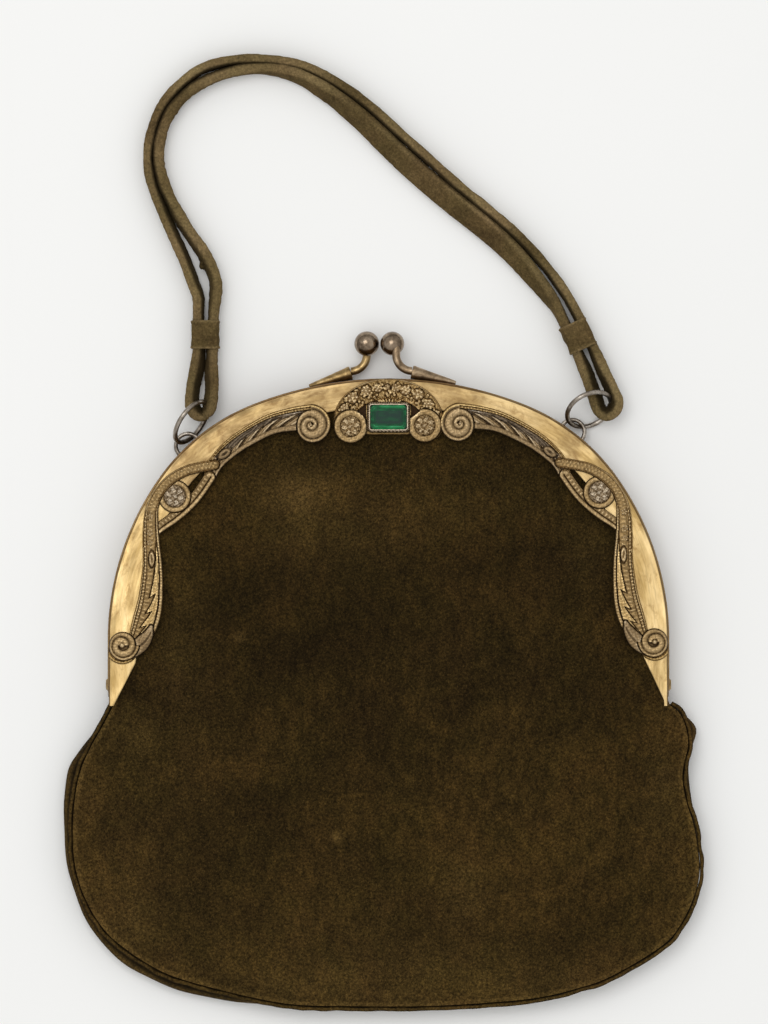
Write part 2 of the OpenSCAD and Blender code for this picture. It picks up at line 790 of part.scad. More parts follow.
module keeper(at, turn) {
    color(strap_suede)
        translate([at[0], at[1], 0])
            rotate([0, 0, turn])
                translate([0, keeper_len / 2, keeper_out_h / 2])
                    rotate([90, 0, 0])
                        linear_extrude(keeper_len)
                            difference() {
                                square([keeper_out_w, keeper_out_h], center = true);
                                square([keeper_in_w, keeper_in_h], center = true);
                            }
}

module left_keeper() {
    keeper(left_keeper_at, left_keeper_turn);
}

module right_keeper() {
    keeper(right_keeper_at, right_keeper_turn);
}

// Bag: its outline is a rounded box, joined to the frame at the feet
bag_w = frame_w + 2 * bag_side;
widest_y = spring_y - widest_drop;
low_b = bag_drop - widest_drop;
corner_y = foot_y - 1;
corner_w = half_w + 1;
flank_ratio = pow(1 - pow(corner_w / (bag_w / 2), bag_power), 1 / bag_power);
up_b = (corner_y - widest_y) / flank_ratio;
corner_a = atan2(pow(flank_ratio, bag_power / 2), pow(corner_w / (bag_w / 2), bag_power / 2));

function rounded(v) = sign(v) * pow(abs(v), 2 / bag_power);
// Point of the outline at a turn from the right, moved in from the edge
function outline_at(a, inset) = [
    (bag_w / 2 - inset) * rounded(cos(a)),
    widest_y + (sin(a) > 0 ? up_b : low_b - inset) * rounded(sin(a))
];

// Edge of a panel: down the outline from the right corner to the left one, then up over the arch
low_steps = 24;
arch_angles = [100, 90, 80, 70, 60, 50, 40, 30, 20, 10, 0];
function low_edge(inset) = [
    for (k = [0 : low_steps])
        let (a = corner_a - k * (180 + 2 * corner_a) / low_steps)
        outline_at(a, inset)
];
// The edge slips in below the slant of the foot before it goes up behind the plate
foot_clear = 0.5;
slip_y = foot_y + plate_w - foot_tip - 3 * foot_clear;
function slip_at(inset) = [half_w - inset - tuck - foot_clear, slip_y];
function arch_edge(inset) = [
    [-slip_at(inset)[0], slip_y],
    for (a = arch_angles)
        let (p = arch_at(a, inset))
        [-p[0], p[1]],
    for (k = [len(arch_angles) - 2 : -1 : 0])
        arch_at(arch_angles[k], inset),
    slip_at(inset)
];
function panel_edge(low_inset, arch_inset) = concat(low_edge(low_inset), arch_edge(arch_inset));

// Sheet between a lower and an upper skin, built in rings from a middle point out to its edge
panel_mid = [0, -22];
ring_spread = 1.35;
function sheet_points(edge, rings, heights) = [
    [panel_mid[0], panel_mid[1], heights(0, 0)],
    for (i = [1 : rings])
        for (k = [0 : len(edge) - 1])
            let (g = 1 - pow(1 - i / rings, ring_spread), p = panel_mid + (edge[k] - panel_mid) * g)
            [p[0], p[1], heights(g, held_share(edge[k][1]))]
];
function fan(start, n, flip) = [
    for (k = [0 : n - 1])
        let (a = start + 1 + k, b = start + 1 + (k + 1) % n)
        flip ? [start, a, b] : [start, b, a]
];
function ring_faces(start, n, rings, flip) = [
    for (i = [0 : rings - 2]) for (k = [0 : n - 1])
        let (a = start + 1 + i * n + k, b = start + 1 + i * n + (k + 1) % n, c = a + n, d = b + n)
        each flip ? [[a, c, b], [b, c, d]] : [[a, b, c], [b, d, c]]
];
module sheet(edge, rings, upper, lower) {
    n = len(edge);
    low = 1 + rings * n;
    top_rim = 1 + (rings - 1) * n;
    low_rim = low + top_rim;
    walls = [
        for (k = [0 : n - 1])
            let (a = top_rim + k, b = top_rim + (k + 1) % n, c = low_rim + k, d = low_rim + (k + 1) % n)
            each [[a, c, b], [b, c, d]]
    ];
    top_faces = concat(fan(0, n, true), ring_faces(0, n, rings, true));
    low_faces = concat(fan(low, n, false), ring_faces(low, n, rings, false));
    polyhedron(
        concat(sheet_points(edge, rings, upper), sheet_points(edge, rings, lower)),
        concat(top_faces, low_faces, walls),
        convexity = 6
    );
}

// Heights of the panels from their middle, at 0, to their edge, at 1
// The share held by the frame grows up the legs
hold_len = slip_y - corner_y;
function held_share(y) = let (t = max(0, min(1, (y - corner_y) / hold_len))) t * t * (3 - 2 * t);
held_z = face_z - plate_t - soft_gap;
seat_z = plate_t + soft_gap;
crown_power = 1.6;
seat_power = 5;
front_z = function (g, held)
    side_h + (held_z - side_h) * held * g * g + crown_h * pow(1 - g * g, crown_power);
back_z = function (g, held) seat_z * held * pow(g, seat_power);
back_show = 1;
front_rings = 6;
back_rings = 3;
lining_rings = 2;

module front_panel() {
    color(suede)
        sheet(
            panel_edge(side_show, plate_w - tuck), front_rings,
            front_z,
            function (g, held) front_z(g, held) - suede_t
        );
}

module back_panel() {
    color(suede)
        sheet(
            panel_edge(back_show, plate_w - tuck), back_rings,
            function (g, held) back_z(g, held) + suede_t,
            back_z
        );
}

// Linings lie inside the panels, a little away from them at their edges
lining_in = 2.6;
lining_sag = 0.65;
lining_off = suede_t + soft_gap;
lining_edge = panel_edge(side_show + lining_in, plate_w - tuck + lining_in);
module front_lining() {
    color(lining_cloth)
        sheet(
            lining_edge, lining_rings,
            function (g, held) front_z(g, held) - lining_off - lining_sag * g,
            function (g, held) front_z(g, held) - lining_off - lining_sag * g - lining_t
        );
}

module back_lining() {
    color(lining_cloth)
        sheet(
            lining_edge, lining_rings,
            function (g, held) back_z(g, held) + lining_off + lining_t,
            function (g, held) back_z(g, held) + lining_off
        );
}

// Side strip from corner to corner, round the base: inset and height of its section
gusset_low = suede_t + soft_gap;
gusset_high = side_h - suede_t - soft_gap;
gusset_fold_z = side_h * 0.42;
gusset_low_in = 1.2;
gusset_high_in = side_show * 0.7;
gusset_section = [
    [gusset_low_in, gusset_low], [0, gusset_fold_z], [gusset_high_in, gusset_high],
    [gusset_high_in + suede_t, gusset_high], [suede_t, gusset_fold_z], [gusset_low_in + suede_t, gusset_low]
];
gusset_steps = 32;
gusset_end_a = 3;
gusset_end = corner_a - gusset_end_a;

module gusset() {
    n = len(gusset_section);
    points = [
        for (k = [0 : gusset_steps])
            let (a = gusset_end - k * (180 + 2 * gusset_end) / gusset_steps)
            for (q = gusset_section)
                let (p = outline_at(a, q[0]))
                [p[0], p[1], q[1]]
    ];
    color(suede)
        polyhedron(points, skin_faces(gusset_steps + 1, n), convexity = 6);
}

back_frame();
front_frame();
left_hinge_rivet();
right_hinge_rivet();
left_scroll_mount();
right_scroll_mount();
centre_mount();
stone_bezel();
green_stone();
back_clasp_ferrule();
back_clasp_arm();
back_clasp_ball();
front_clasp_ferrule();
front_clasp_arm();
front_clasp_ball();
left_ear();
right_ear();
left_ring();
right_ring();
strap();
left_keeper();
right_keeper();
front_panel();
back_panel();
gusset();
front_lining();
back_lining();
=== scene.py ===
import bpy
import math
import numpy as np
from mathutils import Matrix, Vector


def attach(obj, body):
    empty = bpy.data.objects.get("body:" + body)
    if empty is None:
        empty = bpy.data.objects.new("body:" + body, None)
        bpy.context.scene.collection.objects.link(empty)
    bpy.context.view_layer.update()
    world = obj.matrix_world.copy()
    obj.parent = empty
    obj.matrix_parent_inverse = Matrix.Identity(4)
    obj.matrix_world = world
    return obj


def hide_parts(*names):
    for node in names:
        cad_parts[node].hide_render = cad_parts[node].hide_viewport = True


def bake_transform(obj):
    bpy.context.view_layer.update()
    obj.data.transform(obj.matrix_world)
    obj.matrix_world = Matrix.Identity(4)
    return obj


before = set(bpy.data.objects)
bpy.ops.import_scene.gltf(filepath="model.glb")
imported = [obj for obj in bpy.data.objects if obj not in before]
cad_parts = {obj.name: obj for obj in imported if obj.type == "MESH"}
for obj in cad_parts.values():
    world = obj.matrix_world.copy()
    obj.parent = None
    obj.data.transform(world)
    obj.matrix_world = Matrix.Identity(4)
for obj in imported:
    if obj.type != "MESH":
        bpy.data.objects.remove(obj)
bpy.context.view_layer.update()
print("frame loaded,", len(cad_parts), "solids")

mm = 0.001  # lengths are in millimetres, except the strap's route and the sizes that sheets are cut to


# mesh helpers
def gridFaces(rows, cols, closed=False, start=0, flip=False):
    r, c = np.meshgrid(np.arange(rows - 1), np.arange(cols if closed else cols - 1), indexing="ij")
    n = (c + 1) % cols
    quads = np.stack([r * cols + c, r * cols + n, (r + 1) * cols + n, (r + 1) * cols + c], -1)
    quads = quads.reshape(-1, 4) + start
    return (quads[:, ::-1] if flip else quads).tolist()


def tubePart(rings, flip=False):
    # rows of closed sections, with a face over each end
    rings = np.asarray(rings, float)
    rows, cols = rings.shape[:2]
    faces = gridFaces(rows, cols, True, 0, flip)
    first, last = list(range(cols)), [(rows - 1) * cols + k for k in range(cols)]
    faces += [first, last[::-1]] if flip else [first[::-1], last]
    return rings.reshape(-1, 3), faces


def hoopPart(rings, flip=False):
    # rows of closed sections, the last of which meets the first
    rings = np.asarray(rings, float)
    rows, cols = rings.shape[:2]
    faces = np.array(gridFaces(rows + 1, cols, True, 0, flip)) % (rows * cols)
    return rings.reshape(-1, 3), faces.tolist()


def joinParts(parts):
    points, faces, count = [], [], 0
    for p, f in parts:
        points.append(np.asarray(p, float))
        faces += [[k + count for k in face] for face in f]
        count += len(p)
    return np.vstack(points), faces


def makePiece(name, points, faces, look, body=None, marks=None, crease=None):
    mesh = bpy.data.meshes.new(name)
    mesh.from_pydata((np.asarray(points, float) * mm).tolist(), [], faces)
    mesh.update()
    mesh.polygons.foreach_set("use_smooth", [True] * len(mesh.polygons))
    if crease:
        mesh.set_sharp_from_angle(angle=math.radians(crease))
    for label, values in (marks or {}).items():
        layer = mesh.attributes.new(label, "FLOAT", "POINT")
        layer.data.foreach_set("value", np.asarray(values, np.float32))
    obj = bpy.data.objects.new(name, mesh)
    bpy.context.scene.collection.objects.link(obj)
    mesh.materials.append(look)
    if body:
        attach(obj, body)
    return obj


def smoothCurve(points, steps):
    p = np.asarray(points, float)
    p = np.vstack([2 * p[:1] - p[1:2], p, 2 * p[-1:] - p[-2:-1]])
    t = np.linspace(0, 1, steps, endpoint=False)[:, None]
    runs = [
        0.5 * (2 * b + (c - a) * t + (2 * a - 5 * b + 4 * c - d) * t**2 + (3 * b - a - 3 * c + d) * t**3)
        for a, b, c, d in zip(p[:-3], p[1:-2], p[2:-1], p[3:])
    ]
    return np.vstack(runs + [p[-2:-1]])


def lengthsAlong(path):
    return np.concatenate([[0], np.cumsum(np.linalg.norm(np.diff(path, axis=0), axis=1))])


def roundTurn(count):
    return np.linspace(0, 2 * math.pi, count, endpoint=False)


def squareRound(turn, power):
    # a circle squared up: its cosine and sine, raised to a power
    return [np.sign(v) * np.abs(v) ** power for v in (np.cos(turn), np.sin(turn))]


def cosSin(degrees):
    return math.cos(math.radians(degrees)), math.sin(math.radians(degrees))


def softStep(low, high, v):
    t = np.clip((np.asarray(v, float) - low) / (high - low), 0, 1)
    return t * t * (3 - 2 * t)


def bell(v, wide):
    return np.exp(-((v / wide) ** 2))


def ripple(x, y, size, seed):
    # gentle unevenness, about -1 to 1
    draw = np.random.default_rng(seed)
    total = 0
    for _ in range(6):
        turn, pace = draw.uniform(0, 2 * math.pi), 2 * math.pi / size * draw.uniform(0.6, 1.5)
        total = total + np.sin((x * math.cos(turn) + y * math.sin(turn)) * pace + draw.uniform(0, 6.3))
    return total / 2.6


# material helpers
def tint(r, g, b):
    return tuple(((c / 255 + 0.055) / 1.055) ** 2.4 if c > 10 else c / 255 / 12.92 for c in (r, g, b)) + (1.0,)


def startLook(name):
    look = bpy.data.materials.new(name)
    look.use_nodes = True
    return look, look.node_tree, look.node_tree.nodes["Principled BSDF"]


def put(socket, value):
    if isinstance(value, bpy.types.NodeSocket):
        socket.id_data.links.new(value, socket)
    else:
        socket.default_value = value


def grain(tree, size, detail=3.0, rough=0.55, stretch=(1, 1, 1), turn=0.0, warp=0.0, place=None):
    if place is None:
        place = tree.nodes.new("ShaderNodeTexCoord").outputs["Object"]
    scale = tree.nodes.new("ShaderNodeMapping")
    noise = tree.nodes.new("ShaderNodeTexNoise")
    put(scale.inputs["Vector"], place)
    put(scale.inputs["Scale"], [s / (size * mm) for s in stretch])
    put(scale.inputs["Rotation"], (0, 0, math.radians(turn)))
    put(noise.inputs["Vector"], scale.outputs["Vector"])
    for label, value in (("Scale", 1), ("Detail", detail), ("Roughness", rough), ("Distortion", warp)):
        put(noise.inputs[label], value)
    return noise.outputs["Fac"]


def steps(share, stops):
    # ramp whose stops are grey levels, three tones out of 255 or finished colours
    ramp = share.id_data.nodes.new("ShaderNodeValToRGB")
    while len(ramp.color_ramp.elements) < len(stops):
        ramp.color_ramp.elements.new(0.5)
    for knob, (at, value) in zip(ramp.color_ramp.elements, stops):
        knob.position = at
        if not isinstance(value, tuple):
            value = (value, value, value, 1)
        knob.color = tint(*value) if len(value) == 3 else value
    put(ramp.inputs["Fac"], share)
    return ramp.outputs["Color"]


def sums(way, a, b):
    node = a.id_data.nodes.new("ShaderNodeMath")
    node.operation = way
    put(node.inputs[0], a)
    put(node.inputs[1], b)
    return node.outputs[0]


def times(a, b):
    return sums("MULTIPLY", a, b)


def plus(a, b, share):
    return sums("ADD", a, times(b, share))


def mixed(share, a, b, way="MIX"):
    node = a.id_data.nodes.new("ShaderNodeMix")
    node.data_type, node.blend_type = "RGBA", way
    for k, value in ((0, share), (6, a), (7, b)):
        put(node.inputs[k], value)
    return node.outputs[2]


def mark(tree, label):
    node = tree.nodes.new("ShaderNodeAttribute")
    node.attribute_name = label
    return node.outputs["Fac"]


def bumped(shader, height, strength, depth):
    node = shader.id_data.nodes.new("ShaderNodeBump")
    for label, value in (("Strength", strength), ("Distance", depth * mm), ("Height", height)):
        put(node.inputs[label], value)
    put(shader.inputs["Normal"], node.outputs["Normal"])


def fixed(shader, base, values):
    put(shader.inputs["Base Color"], base)
    for label, value in values.items():
        put(shader.inputs[label], value)


# tones from dark to light, the paler tone of rubbed nap and of painted highlights, size of the clouds, and how
# strongly nap and fibre show
suedeSet = {
    "bag_suede": {
        "tones": [(33, 24, 9), (49, 37, 15), (68, 51, 22)], "rubbed_and_lit": (102, 80, 42),
        "cloud": 48.0, "sheen": 0.1, "bite": 1.0,
    },
    "strap_suede": {
        "tones": [(69, 56, 34), (86, 71, 44), (101, 84, 54)], "rubbed_and_lit": (130, 111, 77),
        "cloud": 20.0, "sheen": 0.12, "bite": 0.55,
    },
}


def suedeLook(name, tones, rubbed_and_lit, cloud, sheen, bite):
    look, tree, shader = startLook(name)
    rubbed_and_lit = tint(*rubbed_and_lit)
    broad = grain(tree, cloud, 4, 0.6, (1, 1.3, 1), 20, 0.6)
    patchy = grain(tree, 9, 4, 0.62, (1, 0.8, 1), 0, 0.4)
    brushed = grain(tree, 2.6, 3, 0.6, (1, 0.45, 1), 35)
    nap = grain(tree, 0.8, 3, 0.75)
    fibre = grain(tree, 0.42, 2, 0.7, (1, 0.7, 1), -20)
    hue = grain(tree, 17, 3, 0.6, (1, 1, 1), 0, 0.5)
    share = plus(plus(times(broad, 0.48), patchy, 0.18), brushed, 0.34)
    base = steps(share, list(zip((0.36, 0.5, 0.64), tones)))
    # the pale mark: rubbed nap, and painted highlight on the tops and rolled edges of the strap, welt, side strip and
    # panel
    worn = times(mark(tree, "rub_and_highlight"), steps(patchy, [(0.3, 0.45), (0.65, 1.0)]))
    base = mixed(worn, base, rubbed_and_lit)
    base = mixed(bite, base, steps(nap, [(0.32, 0.36), (0.5, 0.98), (0.68, 1.74)]), "MULTIPLY")
    base = mixed(bite, base, steps(fibre, [(0.3, 0.62), (0.5, 0.96), (0.7, 1.4)]), "MULTIPLY")
    shades = [(0.36, (1.02, 0.985, 1.0, 1)), (0.64, (0.98, 1.01, 0.95, 1))]  # a little redder or greener
    base = mixed(1.0, base, steps(hue, shades), "MULTIPLY")
    base = mixed(steps(fibre, [(0.64, 0.0), (0.76, 0.55 * bite)]), base, rubbed_and_lit)
    # near-black by the crease mark: painted shade in seams, beside the welt, between the strap's runs and on the
    # stub, plus the front panel's darker nap clouds
    base = mixed(times(mark(tree, "crease"), 0.88), base, tint(9, 6, 3))
    fixed(shader, base, {
        "Roughness": 0.95, "Specular IOR Level": 0.06,
        "Sheen Weight": sheen, "Sheen Roughness": 0.45, "Sheen Tint": rubbed_and_lit,
    })
    bumped(shader, plus(nap, patchy, 1.4), 0.6, 0.3)
    return look


def giltLook():
    look, tree, shader = startLook("worn_gilt")
    arch = tree.nodes.new("ShaderNodeCombineXYZ")  # along the arch and in from its edge
    put(arch.inputs[0], mark(tree, "along"))
    put(arch.inputs[1], mark(tree, "inset"))
    arch = arch.outputs[0]
    sweep = grain(tree, 7, 5, 0.66, (0.3, 1, 1), 0, 0.5, arch)
    spots = grain(tree, 2.6, 5, 0.7, (0.5, 1, 1), 4, 0.6, arch)
    hairs = grain(tree, 0.6, 3, 0.6, (0.06, 1, 1), 3, 0, arch)
    cross = grain(tree, 0.7, 3, 0.6, (0.09, 1, 1), 24, 0, arch)
    base = steps(sweep, [(0.36, (176, 146, 92)), (0.5, (212, 182, 126)), (0.62, (232, 203, 148))])
    base = mixed(0.6, base, steps(hairs, [(0.36, 0.7), (0.5, 1.0), (0.64, 1.08)]), "MULTIPLY")
    base = mixed(steps(spots, [(0.54, 0.0), (0.7, 0.7)]), base, tint(146, 112, 66))
    worn = times(mark(tree, "tarnish"), steps(spots, [(0.3, 0.5), (0.6, 1.0)]))
    base = mixed(worn, base, tint(128, 102, 66))
    base = mixed(mark(tree, "edge"), base, tint(78, 52, 28))
    fixed(shader, base, {"Metallic": 1, "Roughness": steps(cross, [(0.3, 0.28), (0.7, 0.48)])})
    bumped(shader, plus(hairs, cross, 0.7), 0.14, 0.08)
    return look


castSet = {
    "brown": [(0.08, (52, 36, 20)), (0.4, (122, 98, 62)), (0.62, (154, 127, 84)), (0.94, (198, 172, 128))],
    "gold": [(0.08, (74, 52, 26)), (0.44, (166, 134, 80)), (0.86, (220, 189, 130))],
    "grey": [(0.08, (40, 34, 28)), (0.46, (118, 104, 88)), (0.9, (200, 190, 176))],
}


def castLook():
    look, tree, shader = startLook("cast_bronze")
    patina = grain(tree, 5, 4, 0.6)
    pits = grain(tree, 0.45, 3, 0.6)
    # ramps by the relief mark: dark hollows and light crests, partly patina and wear, partly painted shade and
    # highlight
    level = plus(mark(tree, "relief"), sums("SUBTRACT", patina, 0.5), 0.3)
    brown, gold, grey = (steps(level, castSet[k]) for k in ("brown", "gold", "grey"))
    base = mixed(mark(tree, "gild"), brown, gold)
    base = mixed(mark(tree, "silver"), base, grey)
    base = mixed(0.6, base, steps(pits, [(0.32, 0.66), (0.55, 1.04)]), "MULTIPLY")
    fixed(shader, base, {"Metallic": 0.9, "Roughness": steps(level, [(0.2, 0.58), (0.75, 0.32)])})
    bumped(shader, pits, 0.25, 0.08)
    return look


# dull, plain and bright tones, and roughness
wireSet = {
    "dark_ball_metal": ((80, 66, 52), (140, 122, 102), (182, 164, 142), 0.17),
    "dull_nickel": ((96, 86, 74), (152, 142, 130), (196, 188, 178), 0.28),
    "brassy_arm": ((104, 83, 52), (162, 135, 90), (202, 174, 124), 0.36),
    "silver_arm": ((96, 80, 60), (156, 133, 105), (196, 174, 144), 0.36),
}


def wireLook(name, dull, plain, bright, rough):
    look, tree, shader = startLook(name)
    stain = grain(tree, 3.2, 4, 0.65, (1, 1, 1), 0, 0.5)
    pits = grain(tree, 0.5, 3, 0.6)
    base = steps(stain, [(0.3, dull), (0.5, plain), (0.72, bright)])
    base = mixed(0.5, base, steps(pits, [(0.3, 0.62), (0.6, 1.06)]), "MULTIPLY")
    fixed(shader, base, {"Metallic": 1, "Roughness": steps(stain, [(0.3, rough + 0.14), (0.7, rough - 0.08)])})
    bumped(shader, sums("ADD", pits, stain), 0.2, 0.12)
    return look


def liningLook():
    look, tree, shader = startLook("lining_cloth")
    weave = tree.nodes.new("ShaderNodeTexWave")
    put(weave.inputs["Scale"], 900)
    put(weave.inputs["Distortion"], 1.5)
    put(weave.inputs["Vector"], tree.nodes.new("ShaderNodeTexCoord").outputs["Object"])
    weave = weave.outputs["Fac"]
    base = steps(grain(tree, 22, 4, 0.6), [(0.3, (150, 126, 92)), (0.7, (190, 168, 130))])
    base = mixed(0.5, base, steps(weave, [(0.2, 0.7), (0.8, 1.05)]), "MULTIPLY")
    fixed(shader, base, {"Roughness": 0.8, "Sheen Weight": 0.2})
    bumped(shader, weave, 0.2, 0.1)
    return look


def glassLook():
    look, tree, shader = startLook("green_glass")
    flaw = grain(tree, 2.5, 3, 0.6)
    shards = grain(tree, 1.7, 1, 0.4, (0.5, 1.5, 1), 0.3)
    glow = plus(mark(tree, "glow"), sums("SUBTRACT", flaw, 0.5), 0.35)
    glow = plus(glow, sums("SUBTRACT", shards, 0.52), 1.1)
    greens = [(0.0, (15, 52, 38)), (0.36, (8, 72, 40)), (0.78, (28, 132, 72)), (1.0, (70, 176, 116))]
    base = steps(glow, greens)
    fixed(shader, base, {
        "Roughness": steps(flaw, [(0.4, 0.05), (0.7, 0.12)]),
        "Transmission Weight": 0.15, "Specular IOR Level": 0.25, "IOR": 1.55,
    })
    return look


giltFinish, castFinish, liningFinish, glassFinish = giltLook(), castLook(), liningLook(), glassLook()
ballFinish, ringFinish, brassFinish, pewterFinish = (wireLook(name, *spec) for name, spec in wireSet.items())
bagFinish, strapFinish = (suedeLook(name, **spec) for name, spec in suedeSet.items())
print("finishes ready")

# camera over the bag, floor and soft light
viewSet = {"middle": (-1.4, 49.8), "level": 8.0, "tall": 320.0, "away": 2400.0}
camData = bpy.data.cameras.new("view_camera")
camData.sensor_width = 36
camData.lens = 36 * viewSet["away"] / viewSet["tall"]
camera = bpy.data.objects.new("view_camera", camData)
camera.location = [c * mm for c in (*viewSet["middle"], viewSet["level"] + viewSet["away"])]
bpy.context.scene.collection.objects.link(camera)
bpy.context.scene.camera = camera
bpy.context.scene.view_settings.view_transform = "Standard"

floorSet = {"half": 2600.0, "tones": [(0.3, (243, 243, 241)), (0.7, (245, 245, 243))]}
floorLook, floorTree, floorShader = startLook("pale_floor")
floorTone = steps(grain(floorTree, 300, 2, 0.5), floorSet["tones"])
fixed(floorShader, floorTone, {"Roughness": 0.9, "Specular IOR Level": 0.1})
h = floorSet["half"]
floorObj = makePiece("floor", [(-h, -h, 0), (h, -h, 0), (h, h, 0), (-h, h, 0)], [[0, 1, 2, 3]], floorLook)

# the sky's level at the horizon, half way up and overhead, and one soft box
lightSet = {
    "sky": [(0.0, 0.34), (0.5, 0.75), (1.0, 0.99)], "key": 3.8, "keyAt": (-260.0, 420.0, 1250.0), "keySize": 700.0,
    "aimAt": (0, 40.0, 0),
}
world = bpy.data.worlds.new("studio")
bpy.context.scene.world = world
world.use_nodes = True
skyTree = world.node_tree
sky = skyTree.nodes["Background"]
skyPlace = skyTree.nodes.new("ShaderNodeTexCoord")
skySplit = skyTree.nodes.new("ShaderNodeSeparateXYZ")
put(skySplit.inputs[0], skyPlace.outputs["Generated"])
put(sky.inputs["Color"], steps(skySplit.outputs["Z"], lightSet["sky"]))
keyData = bpy.data.lights.new("soft_box", "AREA")
keyData.energy, keyData.size = lightSet["key"], lightSet["keySize"] * mm
keyLight = bpy.data.objects.new("soft_box", keyData)
keyLight.location = [c * mm for c in lightSet["keyAt"]]
aim = Vector([c * mm for c in lightSet["aimAt"]]) - keyLight.location
keyLight.rotation_euler = aim.to_track_quat("-Z", "Y").to_euler()
bpy.context.scene.collection.objects.link(keyLight)
print("camera, floor and light set")

# suede strap, doubled through both rings; its route is in metres
strapSet = {
    "width": 6.4, "steps": 8, "sides": 28, "spread": 0.14, "square": 2 / 3.6, "smooth": 6, "flatLean": 66,
    # at places along the route: lean in degrees, shift off the route, how much painted shade the inner sides get,
    # thickness
    "lean": [
        (0, -20), (5.6, -20), (6.2, -5), (7.4, -5), (9, -14), (11, -14), (13.5, -6), (30.6, -6), (32.2, -5),
        (33.4, -22), (40, -22), (41, -5), (42.2, -3), (44.2, 44), (46, 66), (49, 66), (50.5, 50), (52.5, 26),
        (54.5, -6), (61, -6), (62, -14), (64.4, -14), (66, -5), (67.2, -5), (68.2, -20), (73, -20),
    ],
    "shift": [
        (0, -1.2), (2.5, -0.6), (5.6, -0.5), (6.4, 0), (8, 0), (11, 0.2), (26, 0.2), (28, 0.5), (30, 1.0), (32, 1.2),
        (33, 0.9), (34.5, -1.7), (38, -1.9), (40, -0.8), (41, -0.5), (43, -1.0), (45, -0.6), (46.5, 0.6), (48, 1.2),
        (49.3, 1.0), (50.4, -0.5), (52, -1.3), (54, -1.2), (56, -1.05), (57.5, -0.85), (60, -0.3), (61.5, 0.3),
        (63, 1.5), (64.5, 1.2), (66, 0.3), (67.4, 0), (68.6, -1.7), (71, -2.0), (73, -1.2),
    ],
    "shade": [(0, 1), (60, 1), (65, 0.45), (73, 0.45)],
    "thick": [
        (0, 3.4), (8, 3.4), (10.5, 3.0), (30, 3.0), (33, 3.4), (54, 3.5), (56, 3.7), (61, 3.7), (66, 3.4), (73, 3.4),
    ],
}
strapRoute = [
    (-0.0562, 0.0789, 0.0064), (-0.0586, 0.0790, 0.0064), (-0.0610, 0.0808, 0.0064),
    (-0.0620, 0.0842, 0.0060), (-0.0615, 0.0895, 0.0052),
    (-0.0602, 0.0960, 0.0044), (-0.0595, 0.1020, 0.0040), (-0.0595, 0.1120, 0.0040), (-0.0595, 0.1170, 0.0036),
    (-0.0610, 0.1215, 0.0033), (-0.0635, 0.1285, 0.0033), (-0.0675, 0.1375, 0.0033), (-0.0710, 0.1455, 0.0033),
    (-0.0740, 0.1535, 0.0033), (-0.0750, 0.1615, 0.0033), (-0.0735, 0.1700, 0.0033), (-0.0705, 0.1770, 0.0033),
    (-0.0655, 0.1830, 0.0033), (-0.0580, 0.1885, 0.0033), (-0.0480, 0.1910, 0.0033), (-0.0370, 0.1910, 0.0033),
    (-0.0265, 0.1890, 0.0033), (-0.0165, 0.1840, 0.0033), (-0.0065, 0.1770, 0.0033), (0.0030, 0.1685, 0.0033),
    (0.0125, 0.1600, 0.0033), (0.0220, 0.1515, 0.0033), (0.0310, 0.1440, 0.0033), (0.0400, 0.1360, 0.0033),
    (0.0475, 0.1275, 0.0033), (0.0540, 0.1185, 0.0036), (0.0588, 0.1097, 0.0041), (0.0626, 0.1015, 0.0041),
    (0.0668, 0.0930, 0.0048), (0.0704, 0.0884, 0.0054), (0.0728, 0.0844, 0.0060), (0.0716, 0.0804, 0.0060),
    (0.0680, 0.0786, 0.0060), (0.0646, 0.0808, 0.0060), (0.0630, 0.0866, 0.0056), (0.0612, 0.0930, 0.0048),
    (0.0586, 0.0996, 0.0041), (0.0548, 0.1078, 0.0041), (0.0510, 0.1146, 0.0036), (0.0450, 0.1225, 0.0033),
    (0.0380, 0.1310, 0.0033), (0.0295, 0.1395, 0.0033), (0.0210, 0.1470, 0.0033), (0.0125, 0.1545, 0.0033),
    (0.0040, 0.1620, 0.0033), (-0.0040, 0.1685, 0.0033), (-0.0120, 0.1745, 0.0033), (-0.0205, 0.1805, 0.0033),
    (-0.0305, 0.1858, 0.0033), (-0.0410, 0.1875, 0.0033), (-0.0510, 0.1860, 0.0033), (-0.0600, 0.1820, 0.0033),
    (-0.0665, 0.1760, 0.0033), (-0.0702, 0.1690, 0.0033), (-0.0716, 0.1615, 0.0033), (-0.0706, 0.1540, 0.0033),
    (-0.0676, 0.1460, 0.0033), (-0.0638, 0.1380, 0.0033), (-0.0590, 0.1300, 0.0033), (-0.0556, 0.1225, 0.0033),
    (-0.0551, 0.1170, 0.0036), (-0.0551, 0.1120, 0.0040), (-0.0551, 0.1020, 0.0040), (-0.0546, 0.0960, 0.0044),
    (-0.0536, 0.0895, 0.0052), (-0.0538, 0.0842, 0.0060), (-0.0548, 0.0808, 0.0064), (-0.0572, 0.0791, 0.0064),
    (-0.0594, 0.0791, 0.0064),
]


def alongRoute(label, places):
    # a value given at some places of the route, with its corners smoothed off
    values, count = np.interp(places, *np.array(strapSet[label], float).T), 2 * strapSet["smooth"] + 1
    return np.convolve(np.pad(values, strapSet["smooth"], mode="edge"), np.full(count, 1 / count), mode="valid")


